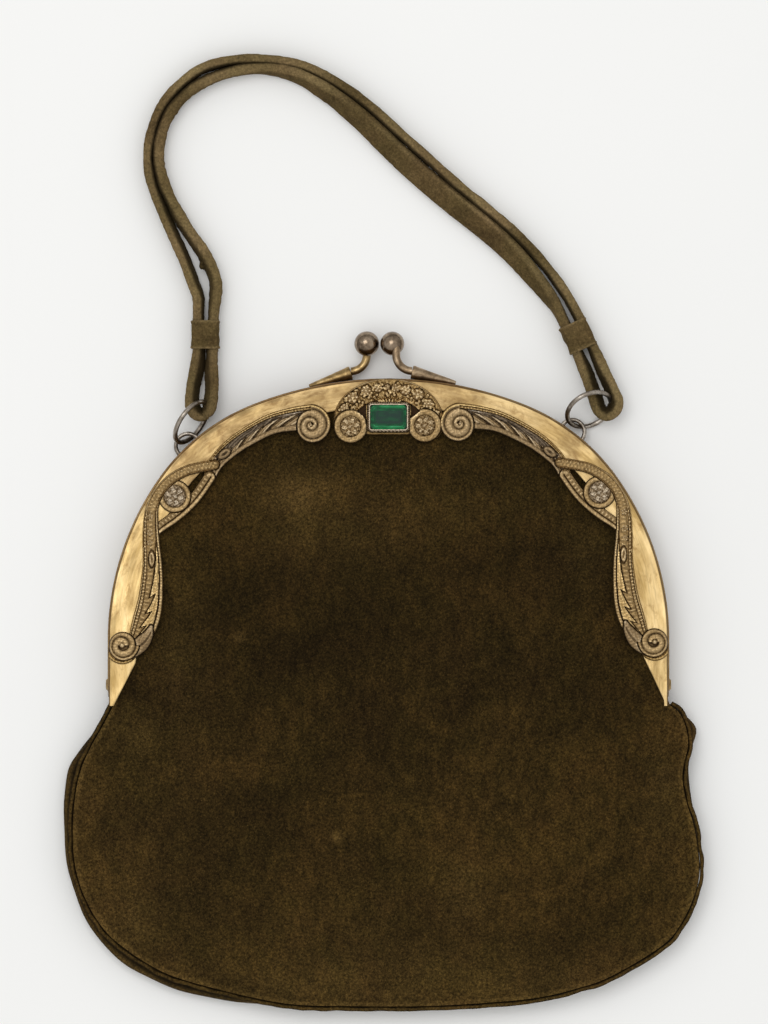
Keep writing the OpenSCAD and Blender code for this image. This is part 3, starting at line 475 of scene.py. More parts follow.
def makeStrap():
    knots = np.arange(len(strapRoute))
    dense = np.linspace(0, knots[-1], knots[-1] * strapSet["steps"] + 1)
    middle = smoothCurve(np.array(strapRoute) / mm, strapSet["steps"])
    lean, shift, shade, thick = (alongRoute(k, dense) for k in ("lean", "shift", "shade", "thick"))
    # the inner run leans over and shows its flat side between the right keeper and the top
    lean = np.radians(lean)
    flat = np.clip(np.degrees(lean) / strapSet["flatLean"], 0, 1)
    heading = np.gradient(middle, axis=0)
    heading[:, 2] = 0
    heading /= np.linalg.norm(heading, axis=1)[:, None]
    inward = np.stack([-heading[:, 1], heading[:, 0], 0 * heading[:, 0]], 1)
    up = np.array([0, 0, 1.0])
    half, thin = strapSet["width"] / 2, thick / 2
    middle = middle + inward * shift[:, None]
    lowest = half * np.cos(lean) + thin * np.abs(np.sin(lean)) + 0.1
    middle[:, 2] = np.maximum(middle[:, 2] * (1 - flat) + lowest * flat, lowest)
    across = (up * np.cos(lean)[:, None] - inward * np.sin(lean)[:, None])[:, None, :]
    outFace = (inward * np.cos(lean)[:, None] + up * np.sin(lean)[:, None])[:, None, :]
    cu, su = squareRound(roundTurn(strapSet["sides"]), strapSet["square"])
    s = lengthsAlong(middle)
    slim = 0.6 + 0.4 * softStep(0, 3.5, np.minimum(s, s[-1] - s))  # the lapped ends are pared down
    wide = slim * (1 + strapSet["spread"] * flat)
    plump = thin * slim * (1 + 0.05 * ripple(s, 0, 9, 3) + 0.03 * ripple(s, 0, 3, 4))
    rings = middle[:, None, :] + across * (half * su)[None, :, None] * wide[:, None, None]
    rings = rings + outFace * cu[None, :, None] * plump[:, None, None]
    fuzz = ripple(rings[..., 0] + rings[..., 2] * 1.7, rings[..., 1] - rings[..., 2], 1.3, 5)
    rings += (across * su[None, :, None] + outFace * cu[None, :, None]) * (0.06 * fuzz)[..., None]
    points, faces = tubePart(rings)
    # lighter top edge: rubbed wear and a painted highlight, varying along the strap
    rub_and_highlight = np.tile(softStep(0.55, 1.0, su), (len(s), 1)) * (0.55 + 0.35 * ripple(s, 0, 26, 8))[:, None]
    # painted shade on the sides that face each other, where the gap between the runs is in shadow
    crease = np.tile(softStep(0.45, 0.92, -cu), (len(s), 1)) * (shade * (1 - flat))[:, None]
    marks = {"rub_and_highlight": np.clip(rub_and_highlight, 0, 1).ravel(), "crease": 0.75 * crease.ravel()}
    piece = makePiece("strap_suede", points, faces, strapFinish, "handle", marks)
    return piece, middle, s[-1]


strapPiece, strapMiddle, strapLong = makeStrap()
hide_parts("strap")

# sleeves that hold the two runs together
keeperSet = {
    "left": {"at": (-57.3, 105.3), "turn": 0.0, "lap": 0.9},
    "right": {"at": (59.3, 104.9), "turn": 24.5, "lap": 3.6},
    "wide": 9.6, "high": 8.8, "long": 9.0, "wall": 0.8, "square": 2 / 5.0, "sides": 72,
}


def makeKeeper(side):
    spec, wall = keeperSet[side], keeperSet["wall"]
    halfWide, halfHigh, halfLong = (keeperSet[k] / 2 for k in ("wide", "high", "long"))
    turn = roundTurn(keeperSet["sides"])
    cu, su = squareRound(turn, keeperSet["square"])
    past = (turn - spec["lap"]) % (2 * math.pi)
    lap = softStep(0, 0.12, past) * (1 - softStep(0, 1.3, past))
    places = np.concatenate([np.linspace(-1, -0.86, 5), np.linspace(-0.75, 0.75, 13), np.linspace(0.86, 1, 5)])
    rings = []
    for p in places:  # outside, with rolled ends, and then back along the inside
        roll = 0.28 * math.exp(-(((abs(p) - 0.9) / 0.08) ** 2)) - 0.35 * max(0, (abs(p) - 0.93) / 0.07) ** 2
        lift = roll + 0.45 * lap - 0.3 + 0.12 * ripple(turn * 3, p * 4 + 0 * turn, 3.5, 21)
        x, z = (halfWide - 0.15 + lift) * cu, halfHigh + (halfHigh - 0.15 + np.minimum(lift, 0.1)) * su
        rings.append(np.stack([x, 0 * x + p * halfLong, z], 1))
    for p in places[::-1]:
        x, z = (halfWide - wall) * cu, halfHigh + (halfHigh - wall) * su
        rings.append(np.stack([x, 0 * x + p * halfLong, z], 1))
    points, faces = hoopPart(rings, True)
    rub_and_highlight = np.clip(0.75 * softStep(0.8, 0.95, np.abs(points[:, 1]) / halfLong), 0, 1)
    c, n = cosSin(spec["turn"])
    x, y, z = points.T
    points = np.column_stack([spec["at"][0] + x * c - y * n, spec["at"][1] + x * n + y * c, z])
    piece = makePiece(side + "_keeper_wrap", points, faces, strapFinish, "handle", {"rub_and_highlight": rub_and_highlight})
    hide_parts(side + "_keeper")
    return piece


keepers = [makeKeeper("left"), makeKeeper("right")]

# cut end of the strap, a stub on the inner run
stubSet = {"at": (-58.1, 127.2, 4.4), "size": (2.3, 3.4, 2.8), "shade": 0.6}


def makeStub():
    rows, cols = 13, 20
    v = np.linspace(0.02, math.pi - 0.02, rows)[:, None]
    t = roundTurn(cols)[None, :]
    lump = 1 + 0.1 * ripple(np.cos(t) * 3 + v, np.sin(t) * 3 - v, 2.4, 31)
    shape = np.stack([np.sin(v) ** 0.7 * np.cos(t), np.sin(v) ** 0.7 * np.sin(t), np.cos(v) + 0 * t], -1)
    points = np.array(stubSet["at"]) + shape * lump[..., None] * np.array(stubSet["size"]) / 2
    points, faces = tubePart(points, True)
    shade = np.full(len(points), stubSet["shade"])
    piece = makePiece("strap_stub", points, faces, strapFinish, "handle", {"rub_and_highlight": 0 * shade, "crease": shade})
    return piece


strapStub = makeStub()
print("strap laid,", round(strapLong), "mm long")

# arch of the frame: the same bearings and insets as the solids
archSet = {
    "halfWide": 87.6, "apexY": 91.45, "crownA": 21.6, "shoulderA": 54.5, "crownR": 115.3, "shoulderR": 64.7,
    "sideR": 87.65, "springY": 9.85, "plateW": 9.0, "depth": 13.0, "hingeY": -4.15, "footY": -10.65,
    "feet": {-1: (2.0, -10.65, 0.513), 1: (1.75, -9.0, 0.47)}, "step": 0.4, "rimT": 1.0, "gap": 0.6, "earGap": 4.4,
    # outer and inner edge of the plate, from the top down: inset and height
    "outEdge": [(0.4, 13.0), (0.2, 12.93), (0.05, 12.72), (0, 12.3)],
    "inEdge": [(0.4, 13.0), (0.18, 12.94), (0.04, 12.76), (0, 12.4)], "underside": 12.0,
    # ears of the hinge: place, thickness and where the rim ends over them; their edge; how they run up into the frame
    "ears": {"front": (-1.3, 1.0, 4.5), "back": (0.05, 0.9, 1.4)},
    "earEdge": [(0, 1.25), (0, 3.85), (0.15, 4.0)], "earTop": (5.7, 2.8, 6.3),
}


def footWide(side, y):
    tip, tipY, slope = archSet["feet"][side]
    return np.clip(tip + slope * (y - tipY), tip, archSet["plateW"])


def bearing(a):
    return np.stack([np.sin(np.radians(a)), np.cos(np.radians(a))], -1)


def archAt(a, inset):
    # point of the arch at a bearing from the top; past 90 it runs down the leg in millimetres
    a, inset = np.broadcast_arrays(np.asarray(a, float), np.asarray(inset, float))
    side, b = np.where(a < 0, -1.0, 1.0), np.abs(a)
    s = archSet
    crownO = np.array([0, s["apexY"] - s["crownR"]])
    shoulderO = crownO + (s["crownR"] - s["shoulderR"]) * bearing(s["crownA"])
    sideO = shoulderO + (s["shoulderR"] - s["sideR"]) * bearing(s["shoulderA"])
    reach = bearing(b)
    p = np.stack([s["halfWide"] - inset, s["springY"] - (b - 90)], -1)
    arcs = [(sideO, s["sideR"], 90), (shoulderO, s["shoulderR"], s["shoulderA"]), (crownO, s["crownR"], s["crownA"])]
    for middle, radius, until in arcs:
        p = np.where((b <= until)[..., None], middle + (radius - inset)[..., None] * reach, p)
    return np.stack([p[..., 0] * side, p[..., 1]], -1)


def frameHalf(body):
    s, front, name = archSet, body == "front", body + "_frame"
    earX, earT, rimStop = s["ears"][body]

    def bearings(last, count):
        legs = np.linspace(90.5, last, count)
        return np.concatenate([np.linspace(-last, -90.5, count), np.linspace(-89.5, 89.5, 150), legs])

    def swept(angles, section, ends=False):
        rings = []
        for a in angles:
            inset, z = np.array(section(a)).T
            xy = archAt(a, inset)
            if front and ends and a in (angles[0], angles[-1]):  # the rim's ends follow the round ears
                off = np.minimum(np.abs(z - s["depth"] / 2), s["earGap"])
                xy[:, 1] += s["hingeY"] + np.sqrt(s["earGap"] ** 2 - off**2) - xy[0, 1]
            rings.append(np.column_stack([xy, z if front else s["depth"] - z]))
        return tubePart(rings, not front)

    def plateSection(a):
        wide = float(footWide(1 if a > 0 else -1, archAt(a, 0.0)[1]))
        top = [(s["step"] + i, z) for i, z in s["outEdge"][::-1]]
        top += [(i, s["depth"]) for i in np.linspace(0.95, max(wide - 0.7, 0.96), 7)]
        top += [(wide - i, z) for i, z in s["inEdge"]]
        return top + [(wide, s["underside"]), (s["step"], s["underside"])]

    def rimSection(a):
        low, high = s["depth"] / 2 + s["gap"] / 2, s["depth"] - s["step"]
        outer = [(0.0, low + 0.15), (0.0, high - 0.35), (0.1, high - 0.1), (0.35, high)]
        return outer + [(s["rimT"], high), (s["rimT"], low), (0.15, low)]

    turns = bearings(90 + s["springY"] - s["footY"], 22)
    rimTurns = bearings(90 + s["springY"] - (s["hingeY"] + rimStop), 8)
    parts = [swept(turns, plateSection), swept(rimTurns, rimSection, True)]
    # ears of the hinge, on the rivets; each runs up into its half of the frame
    lugX = s["halfWide"] - s["rimT"] + earX
    tall, half, most = s["earTop"]
    spin = roundTurn(48)
    upward = np.clip(np.sin(spin) * (1 if front else -1), 0, 1)
    square = np.minimum(tall / np.maximum(upward, 0.01), half / np.maximum(np.abs(np.cos(spin)), 0.01))
    for side in (-1, 1):
        rings = []
        for x, r in s["earEdge"] + [(earT - x, r) for x, r in s["earEdge"][::-1]]:
            reach = np.where((upward > 0.3) & (r > 2), np.maximum(r, np.minimum(square, most)), r)
            y, z = s["hingeY"] + reach * np.cos(spin), s["depth"] / 2 + reach * np.sin(spin)
            rings.append(np.column_stack([np.full(len(spin), side * (lugX + x)), y, z]))
        parts.append(hoopPart(rings, side > 0))
    points, faces = joinParts(parts)
    edge, along, inset = np.zeros((3, len(points)))
    at = 0
    for angles, section, way in ((turns, plateSection, 0), (rimTurns, rimSection, 1)):
        size = len(angles) * len(section(0))
        along[at : at + size] = np.repeat(lengthsAlong(archAt(angles, 0.0)), len(section(0)))
        inset[at : at + size] = np.concatenate([np.array(section(a))[:, way] for a in angles])
        at += size
    along[at:], inset[at:] = points[at:, 2], points[at:, 1]
    plateCount = len(parts[0][0])
    # the plate's bevelled edges, inner edge and underside, and the whole rim, are coloured dark brown
    edge[:plateCount] = np.tile([1, 1, 0.75, 0.3] + [0] * 8 + [0.25, 0.5, 0.6, 0.7, 0.7], len(turns))
    edge[plateCount:] = 0.75
    # brown under the centre mount, stained between it and the scroll mounts, more so on the left
    spin = np.degrees(np.arctan2(np.abs(points[:, 0]), points[:, 1]))
    stain = softStep(-0.6, 0.5, ripple(along, inset * 3, 17, 43))
    leftward = softStep(10, -10, points[:, 0])
    tarnish = (0.2 + 0.35 * stain + 0.4 * leftward) * softStep(14, 22, spin) * (1 - softStep(44, 56, spin))
    tarnish += 0.8 * (1 - softStep(14, 22, spin)) + 0.25 * softStep(0.2, 1.1, ripple(along, inset * 4, 21, 44))
    lift = 0.05 * ripple(points[:, 0], points[:, 1], 13, 41) * (edge == 0)
    points[:, 2] += lift if front else -lift
    marks = {"edge": edge, "tarnish": np.clip(tarnish, 0, 1), "along": along * mm, "inset": inset * mm}
    piece = makePiece(name + "_gilt", points, faces, giltFinish, body, marks, 40)
    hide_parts(name)


frameHalf("front")
frameHalf("back")
print("frame halves swept")


# cast mounts, carved as height over the plate
def newField(x0, x1, y0, y1, cell):
    x, y = np.meshgrid(np.arange(x0, x1, cell), np.arange(y0, y1, cell))
    field = {label: np.zeros(x.shape) for label in ("high", "silver", "gild", "tone")}
    return {**field, "x": x, "y": y, "cell": cell, "edge": np.full(x.shape, -99.0)}


def offsets(field, at):
    return field["x"] - at[0], field["y"] - at[1]


def layOn(field, inside, high, over=False, silver=0.0, gild=0.0, tone=0.0, drop=0.4):
    show = (inside > 0) & (over | (high > field["high"]))
    bevel = 1 - drop * (1 - softStep(0, 0.4, inside))
    for label, value in (("high", high * bevel), ("silver", silver), ("gild", gild), ("tone", tone)):
        field[label] = np.where(show, value, field[label])
    field["edge"] = np.maximum(field["edge"], inside)


def pitOn(field, at, wide, tall, turn, depth):
    # punched hollow, longer along its turn
    c, s = cosSin(turn)
    dx, dy = offsets(field, at)
    far = ((dx * c + dy * s) / tall) ** 2 + ((dy * c - dx * s) / wide) ** 2
    field["high"] = field["high"] - depth * np.exp(-(far**2))


def alongPath(path, x, y):
    # place along a path and distance to its left
    best, s, d, run = np.full(x.shape, 1e9), np.zeros(x.shape), np.zeros(x.shape), 0.0
    for (ax, ay), (bx, by) in zip(path[:-1], path[1:]):
        ux, uy = bx - ax, by - ay
        long = math.hypot(ux, uy)
        t = np.clip(((x - ax) * ux + (y - ay) * uy) / long**2, 0, 1)
        far = (x - ax - t * ux) ** 2 + (y - ay - t * uy) ** 2
        hit = far < best
        d = np.where(hit, np.sign(ux * (y - ay) - uy * (x - ax)) * np.sqrt(far), d)
        s = np.where(hit, run + t * long, s)
        best = np.where(hit, far, best)
        run += long
    return s, d, run


def bandOn(field, stations):
    path = smoothCurve(stations, 5)
    s, d, long = alongPath(path[:, :2], field["x"], field["y"])
    wide = np.interp(s, lengthsAlong(path[:, :2]), path[:, 2])
    return s, d / (wide / 2), wide / 2 - np.abs(d), long


def ridge(u, at, half):
    return np.sqrt(np.clip(1 - ((u - at) / half) ** 2, 0, 1))


def beads(s, pitch):
    return np.abs(np.cos(math.pi * s / pitch))


def snailOn(field, at, start, rim, groove, tall, silver=0.15, lip=0.0):
    # scroll that winds in from its start bearing; rim and groove are radii at each quarter turn
    dx, dy = offsets(field, at)
    far, spin = np.hypot(dx, dy), np.degrees(np.arctan2(dy, dx))
    turn = (spin - start) % 360
    outside = np.interp(turn, np.arange(len(rim)) * 90.0, rim)
    upper, high, tone = outside, np.full(far.shape, 0.5 * tall), np.zeros(far.shape)
    for k in range(len(groove) // 4 + 1):
        lower = np.interp(turn + 360 * k, np.arange(len(groove)) * 90.0, groove, right=0.0)
        t = np.clip((far - lower) / np.maximum(upper - lower, 0.05), 0, 1)
        swell = np.sin(math.pi * t) ** 0.3
        coil = (far <= upper) & (far > lower)
        high = np.where(coil, tall * (0.56 + (0.27 + 0.02 * k) * swell), high)
        # painted shade in the grooves between the coils, deepest on the outer coil
        tone = np.where(coil, 0.16 * swell - 0.2 + 0.04 * k - 0.12 * (1 - t) * (k == 0), tone)
        upper = lower
    eye = groove[-1] * 0.8
    high = np.where(far < eye, tall * (0.6 + 0.4 * ridge(far, 0, eye)), high)
    # gilt beads carry the leaf's edge on round the scroll
    beaded = (far > outside - 0.85) * (1 - softStep(0.5 * lip, lip + 1, turn)) * (lip > 0)
    high = high + 0.16 * beaded * beads(turn * outside * math.pi / 180, 0.95)
    layOn(field, outside - far, high, True, silver * (1 - beaded), 0.25 + 0.7 * beaded, tone + 0.1 * beaded)


def flowerHigh(dx, dy, r, petals, turn):
    far = np.hypot(dx, dy)
    high = 0.5 + 0.45 * bell(far, 0.24 * r)
    for k in range(petals):
        a = turn + 2 * math.pi * k / petals
        px, py = dx - 0.62 * r * math.cos(a), dy - 0.62 * r * math.sin(a)
        along, side = px * math.cos(a) + py * math.sin(a), py * math.cos(a) - px * math.sin(a)
        bump = np.exp(-((along / (0.36 * r)) ** 2) - (side / (0.25 * r)) ** 2)
        high = np.maximum(high, 0.5 + 0.36 * bump - 0.1 * bell(side, 0.06 * r) * bump)
    return high, far


def rosetteOn(field, at, collarR, collarW, flowerR, petals, tall, turn=0.3, silver=0.6):
    # round collar with an uneven flower in it
    dx, dy = offsets(field, at)
    wavyX, wavyY = dx + 0.12 * ripple(dx, dy, 2.1, 33), dy + 0.12 * ripple(dx, dy, 2.3, 34)
    bloom, _ = flowerHigh(wavyX, wavyY, flowerR, petals, turn)
    far = np.hypot(dx, dy)
    ring = tall * (0.56 + 0.22 * ridge(far, collarR - collarW / 2, collarW / 2 + 0.05))
    ring = ring + 0.04 * ripple(dx, dy, 1.7, 35)
    layOn(field, collarR - far, np.where(far > collarR - collarW, ring, tall * 0.5), True, 0.15, 0.35, -0.1)
    layOn(field, flowerR * 1.08 - far, tall * bloom + 0.12 * ripple(dx, dy, 0.9, 36), True, silver, 0.3, 0.12, 0.08)


def flowerOn(field, at, r, petals, tall, turn, silver=0.3):
    bloom, far = flowerHigh(*offsets(field, at), r, petals, turn)
    layOn(field, 1.05 * r - far, tall * bloom, False, silver, 0.4, 0.14)


def lobeOn(field, root, tip, wide, tall, silver=0.1, gild=0.3):
    s, d, long = alongPath([root, tip], field["x"], field["y"])
    t = s / long
    half = wide * (0.62 - 0.3 * t)
    vein = 0.22 * bell(d, 0.15) * (t > 0.05)
    high = tall * (1.05 - 0.35 * t) * (0.5 + 0.5 * ridge(d, 0, half)) - vein
    layOn(field, half - np.abs(d), high, False, silver, gild, 0.14)


def blurred(a, mask, cells):
    # box mean over the casting only
    def run(v):
        for axis in (0, 1):
            pad = [(0, 0), (0, 0)]
            pad[axis] = (cells + 1, cells)
            c = np.cumsum(np.pad(v, pad), axis)
            n = v.shape[axis]
            hi = np.take(c, np.arange(2 * cells + 1, n + 2 * cells + 1), axis)
            v = hi - np.take(c, np.arange(0, n), axis)
        return v

    return run(a * mask) / np.maximum(run(mask * 1.0), 1e-6)


def castPiece(name, field, mirror=False, floorZ=archSet["depth"]):
    x, y, edge, high, cell = (field[k] for k in ("x", "y", "edge", "high", "cell"))
    high = np.maximum(high, 0.3) + 0.035 * ripple(x, y, 1.3, 91) + 0.03 * ripple(x, y, 0.7, 92)
    inside = edge > 0
    gy, gx = np.gradient(edge, cell)
    slope = np.maximum(np.hypot(gx, gy), 0.4)
    reach = np.clip(-edge / slope, 0, 1.3 * cell) * ~inside
    x, y = x + reach * gx / slope, y + reach * gy / slope
    near, wide = (blurred(high, inside, int(round(r / cell))) for r in (0.8, 2.2))
    # darker in hollows and on the outline, lighter on crests: partly patina and rubbed metal, partly painted shade
    # and highlight
    relief = 0.5 + (high - near) / 1.6 + (high - wide) / 5.0 + 0.08 * (high - 1.4) + field["tone"]
    rows, cols = x.shape
    shifts = [(a, b) for a in (0, 1, 2) for b in (0, 1, 2)]

    def rimmed(values, share):
        # vertices on the outline take what stands beside them
        padded = np.pad(np.where(inside, values, 0), 1)
        near = np.max([padded[a : a + rows, b : b + cols] for a, b in shifts], 0)
        return np.where(inside, values, share * near)

    high, relief = rimmed(high, 0.8), rimmed(relief, 0.7)
    usable = edge > -1.6 * cell
    corner = lambda m: np.stack([m[:-1, :-1], m[:-1, 1:], m[1:, 1:], m[1:, :-1]], -1)
    index = np.arange(rows * cols).reshape(rows, cols)
    keep = corner(usable).all(-1) & (corner(inside).sum(-1) >= 2)
    used, quads = np.unique(corner(index)[keep], return_inverse=True)
    quads = quads.reshape(-1, 4)
    count = len(used)
    px, py, ph = x.ravel()[used], y.ravel()[used], high.ravel()[used]
    if mirror:
        px, quads = -px, quads[:, ::-1]
    starts, ends = quads.ravel(), np.roll(quads, -1, 1).ravel()
    border = ~np.isin(starts * count + ends, ends * count + starts)
    walls = np.stack([starts, starts + count, ends + count, ends], 1)[border]
    points = np.vstack([np.column_stack([px, py, z]) for z in (floorZ + ph, 0 * px + floorZ - 0.02)])
    faces = np.vstack([quads, quads[:, ::-1] + count, walls]).tolist()
    marks = {"relief": relief, "silver": rimmed(field["silver"], 1), "gild": rimmed(field["gild"], 1)}
    marks = {label: np.clip(np.concatenate([v.ravel()[used]] * 2), 0, 1) for label, v in marks.items()}
    piece = makePiece(name, points, faces, castFinish, "front", marks, 62)
    return piece


# places along the arch, insets and widths of the bands as shares of the plate's width
scrollSet = {
    "cell": 0.15, "tall": 2.2, "leafFrom": 12.8, "fork": 44.5, "lobe": 5.0,
    "slide": {"left": 0.2, "right": -0.9}, "area": (15.5, 90.0, 0.5, 89.0),
    "leaf": [
        (0, 1.04, 0.9), (0.1, 0.95, 0.84), (0.22, 0.88, 0.74), (0.46, 0.96, 0.68), (0.68, 1.03, 0.62),
        (0.86, 1.13, 0.54), (1, 1.33, 0.44),
    ],
    "outer": [
        (40.5, 1.14, 0.36), (44, 0.89, 0.37), (48.5, 0.57, 0.37), (53.5, 0.35, 0.37), (57, 0.28, 0.37),
        (60, 0.33, 0.42), (63, 0.51, 0.52), (67, 0.81, 0.6), (71, 1.09, 0.67), (75, 1.27, 0.76),
        (79, 1.36, 0.84), (82, 1.37, 0.91), (85, 1.31, 0.93), (88, 1.18, 0.84), (91, 0.98, 0.62),
    ],
    "inner": [
        (44.5, 1.33, 0.42), (51, 1.42, 0.42), (56, 1.37, 0.42), (60, 1.18, 0.42), (63.5, 0.92, 0.38),
        (66, 0.78, 0.29),
    ],
    "upperAt": (13.3, 11.7), "upperRim": [6.5, 6.3, 5.6, 4.5, 4.9],
    "upperGroove": [5.0, 4.85, 4.2, 3.2, 2.5, 2.05, 1.6, 1.2, 0.9, 0.7],
    "lowerAt": (91.4, 4.6), "lowerRim": [5.6, 4.9, 4.1, 4.2, 4.4], "lowerGroove": [4.2, 3.7, 3.1, 2.6, 2.1, 1.6, 1.1],
    "knotAt": (55.9, 7.3), "collar": (5.2, 1.8), "flower": 3.2,
    "tips": [(79.75, 11.6), (83.2, 10.2), (86.0, 8.8)], "firstTip": 15.0,
    # small flowers by the leaf's root and below the knot: bearing, inset, radius, turn
    "rootFlowers": [(39.4, 8.6, 1.0, 0.6), (41.0, 10.2, 1.2, 0.2)],
    "bandFlowers": [(62.4, 3.9, 1.2, 0.2), (65.6, 6.0, 1.25, 0.9), (67.6, 7.2, 1.1, 0.4)],
    "budAt": (35.8, 9.4), "bud": (2.5, 1.5), "podAt": (70.9, 9.6), "pod": (1.15, 2.9), "ledge": 5.3,
    "boss": [(86.6, 1.5, 0.2), (88.6, 1.4, 0.42), (91, 1.16, 0.58), (93.4, 0.82, 0.52), (95, 0.5, 0.3)],
}


def scrollMount(side):
    s, tall, slide = scrollSet, scrollSet["tall"], scrollSet["slide"][side]
    field = newField(*s["area"], s["cell"])
    x, y = field["x"], field["y"]

    def stations(run):
        places, wide = np.array(run), archSet["plateW"]
        return np.column_stack([archAt(places[:, 0] + slide, places[:, 1] * wide), places[:, 2] * wide])

    def spot(a, inset):
        return archAt(a + slide, inset)

    # acanthus leaf: gilt edge, row of dots, dark hollow, long lobes that overlap and a smooth inner rim
    leafRun = [(s["leafFrom"] + p * (s["fork"] - s["leafFrom"]), i, w) for p, i, w in s["leaf"]]
    run, u, inside, long = bandOn(field, stations(leafRun))
    share = run / long
    cut = (run / s["lobe"] + 1.6 * (u + 0.4)) % 1.0
    crest = softStep(0, 0.16, cut) * (1 - cut) ** 0.7
    lobeTop = np.interp(share, [0, 0.25, 0.5, 0.75, 1], [0.26, 0.2, 0.0, -0.14, -0.05]) + 0.26 * (0.7 - cut)
    lobes = 1.1 + 0.7 * crest + 0.1 * np.cos(6 * math.pi * cut)
    slot = 0.45 * bell(cut - 0.04, 0.07) * bell(u + 0.12, 0.2)
    veins = np.cos(2 * math.pi * (4.2 * u + run / 5.5 + 0.3 * ripple(x, y, 3.1, 37)))
    hollow = 1.02 + 0.36 * np.clip((u - 0.24) / 0.34, -1, 1) ** 2 + 0.09 * veins
    glint = (u > 0.44) * (1 - softStep(0.16, 0.34, share))
    rimHigh = 1.4 + 0.45 * ridge(u, -0.74, 0.3) - 0.4 * slot
    dots = 1.4 + 0.24 * beads(run, 0.95)
    places = [u > 0.8, u > 0.76, u > 0.6, u > 0.54, u > lobeTop, u > -0.44]
    lip, hollowTone = 1.55 + 0.25 * ridge(u, 0.9, 0.12), 0.3 * glint + 0.04 * veins - 0.06
    high = np.select(places, [lip, 1.15, dots, 1.0, hollow, lobes - slot], rimHigh)
    silver = np.select(places, [0, 0, 0, 0, 0.85, 0.3 + 0.1 * crest], 0.4)
    # painted shade at each lobe's root and painted highlight on its crest; on the hollow, the painted glint
    tone = np.select(places, [0, 0, -0.04, -0.1, hollowTone, 0.3 * crest - 0.2], -0.2)
    layOn(field, inside, high, False, silver, np.where(u > 0.76, 0.95, 0.3), tone)
    # oval bud at the root of the leaf
    at, lean = spot(*s["budAt"]), s["budAt"][0]
    c, n = cosSin(lean)
    dx, dy = offsets(field, at)
    far = np.hypot((dx * c - dy * n) / s["bud"][0], (dx * n + dy * c) / s["bud"][1])
    layOn(field, s["bud"][1] * (1 - far), 1.3 + 0.4 * ridge(far, 0, 1.05), True, 0.45, 0.3, -0.16, 0.2)
    pitOn(field, at, 0.32, 1.1, -lean, 0.35)
    for a, inset, r, turn in s["rootFlowers"]:
        flowerOn(field, spot(a, inset), r, 5, 2.0, turn, 0.4)

    # inner band below the knot: a row of dots and a smooth inner rim
    run, u, inside, _ = bandOn(field, stations(s["inner"]))
    dots = 1.25 + 0.35 * beads(run, 1.3) ** 0.7 * ridge(u, 0.32, 0.42)
    high = np.select([u > 0.82, u > -0.1, u > -0.2], [1.55, dots, 1.1], 1.4 + 0.4 * ridge(u, -0.6, 0.42))
    layOn(field, inside, high, True, 0.2, 0.4, np.where(u > -0.2, 0.0, -0.1))

    # collar and rosette of the knot
    rosetteOn(field, spot(*s["knotAt"]), *s["collar"], s["flower"], 6, tall)

    # outer band over the knot, then the lower leaf with its cut edge
    run, u, inside, long = bandOn(field, stations(s["outer"]))
    share = run / long
    rows = np.maximum(beads(run, 1.15) * ridge(u, 0.34, 0.34), beads(run + 0.57, 1.15) * ridge(u, -0.3, 0.34))
    worn = 0.75 + 0.35 * ripple(x, y, 2.4, 38)
    bandHigh = np.where(np.abs(u) > 0.72, 1.5 + 0.2 * ridge(np.abs(u), 0.86, 0.16), 1.25 + 0.3 * rows * worn)
    # the leaf's edge grows to a tip, drops back and grows again
    path = smoothCurve(stations(s["outer"]), 5)[:, :2]
    tips = [float(alongPath(path, *spot(*place))[0]) for place in s["tips"]]
    first = tips[0] - s["firstTip"]
    places, edges = [first - 1, first], [-0.62, -0.62]
    for k, at in enumerate(tips):
        places += [at, at + 0.9]
        edges += [0.12 + 0.08 * k, -0.34 + 0.1 * k]
    leafEdge = np.interp(run + 5.0 * (0.1 - u), places + [tips[-1] + 5], edges + [0.4])
    fronds = np.cos(2 * math.pi * (2.4 * (u - leafEdge) + run / 7.0))
    leaf = 1.35 + 0.5 * ridge(u, -0.25, 0.62) + 0.06 * fronds
    rope = 1.3 + 0.32 * np.abs(np.sin(math.pi * (run / 1.1 + 0.6 * u)))
    chain = 1.18 + 0.3 * beads(run, 1.4) * ridge(u, 0.5 * (leafEdge + 0.6), 0.34) * worn
    lowHigh = np.select(
        [u > 0.84, u > 0.79, u > 0.58, u > 0.53, u > leafEdge + 0.05, u > leafEdge - 0.04, u > -0.6, u > -0.7],
        [1.65, 1.1, rope, 1.1, chain, 0.95, leaf, 0.95],
        1.5 + 0.16 * beads(run, 0.9),
    )
    swap = softStep(0.36, 0.4, share)
    high = bandHigh * (1 - swap) + lowHigh * swap
    onLeaf = (u < leafEdge) & (u > -0.6) & (share > 0.4)
    gild = np.where(onLeaf | (u > 0.84), 0.75, 0.3)
    layOn(field, inside, high, True, np.where(onLeaf, 0.05, 0.1), gild, np.where(onLeaf, -0.06, 0.0))
    for a, inset, r, turn in s["bandFlowers"]:
        flowerOn(field, spot(a, inset), r, 5, 1.9, turn)
    # split pod beside them
    at = spot(*s["podAt"])
    far = np.hypot(*(d / size for d, size in zip(offsets(field, at), s["pod"])))
    layOn(field, s["pod"][0] * (1 - far), 1.35 + 0.4 * ridge(far, 0, 1.05), True, 0.2, 0.3)
    pitOn(field, at, 0.26, 1.3, 80, 0.4)

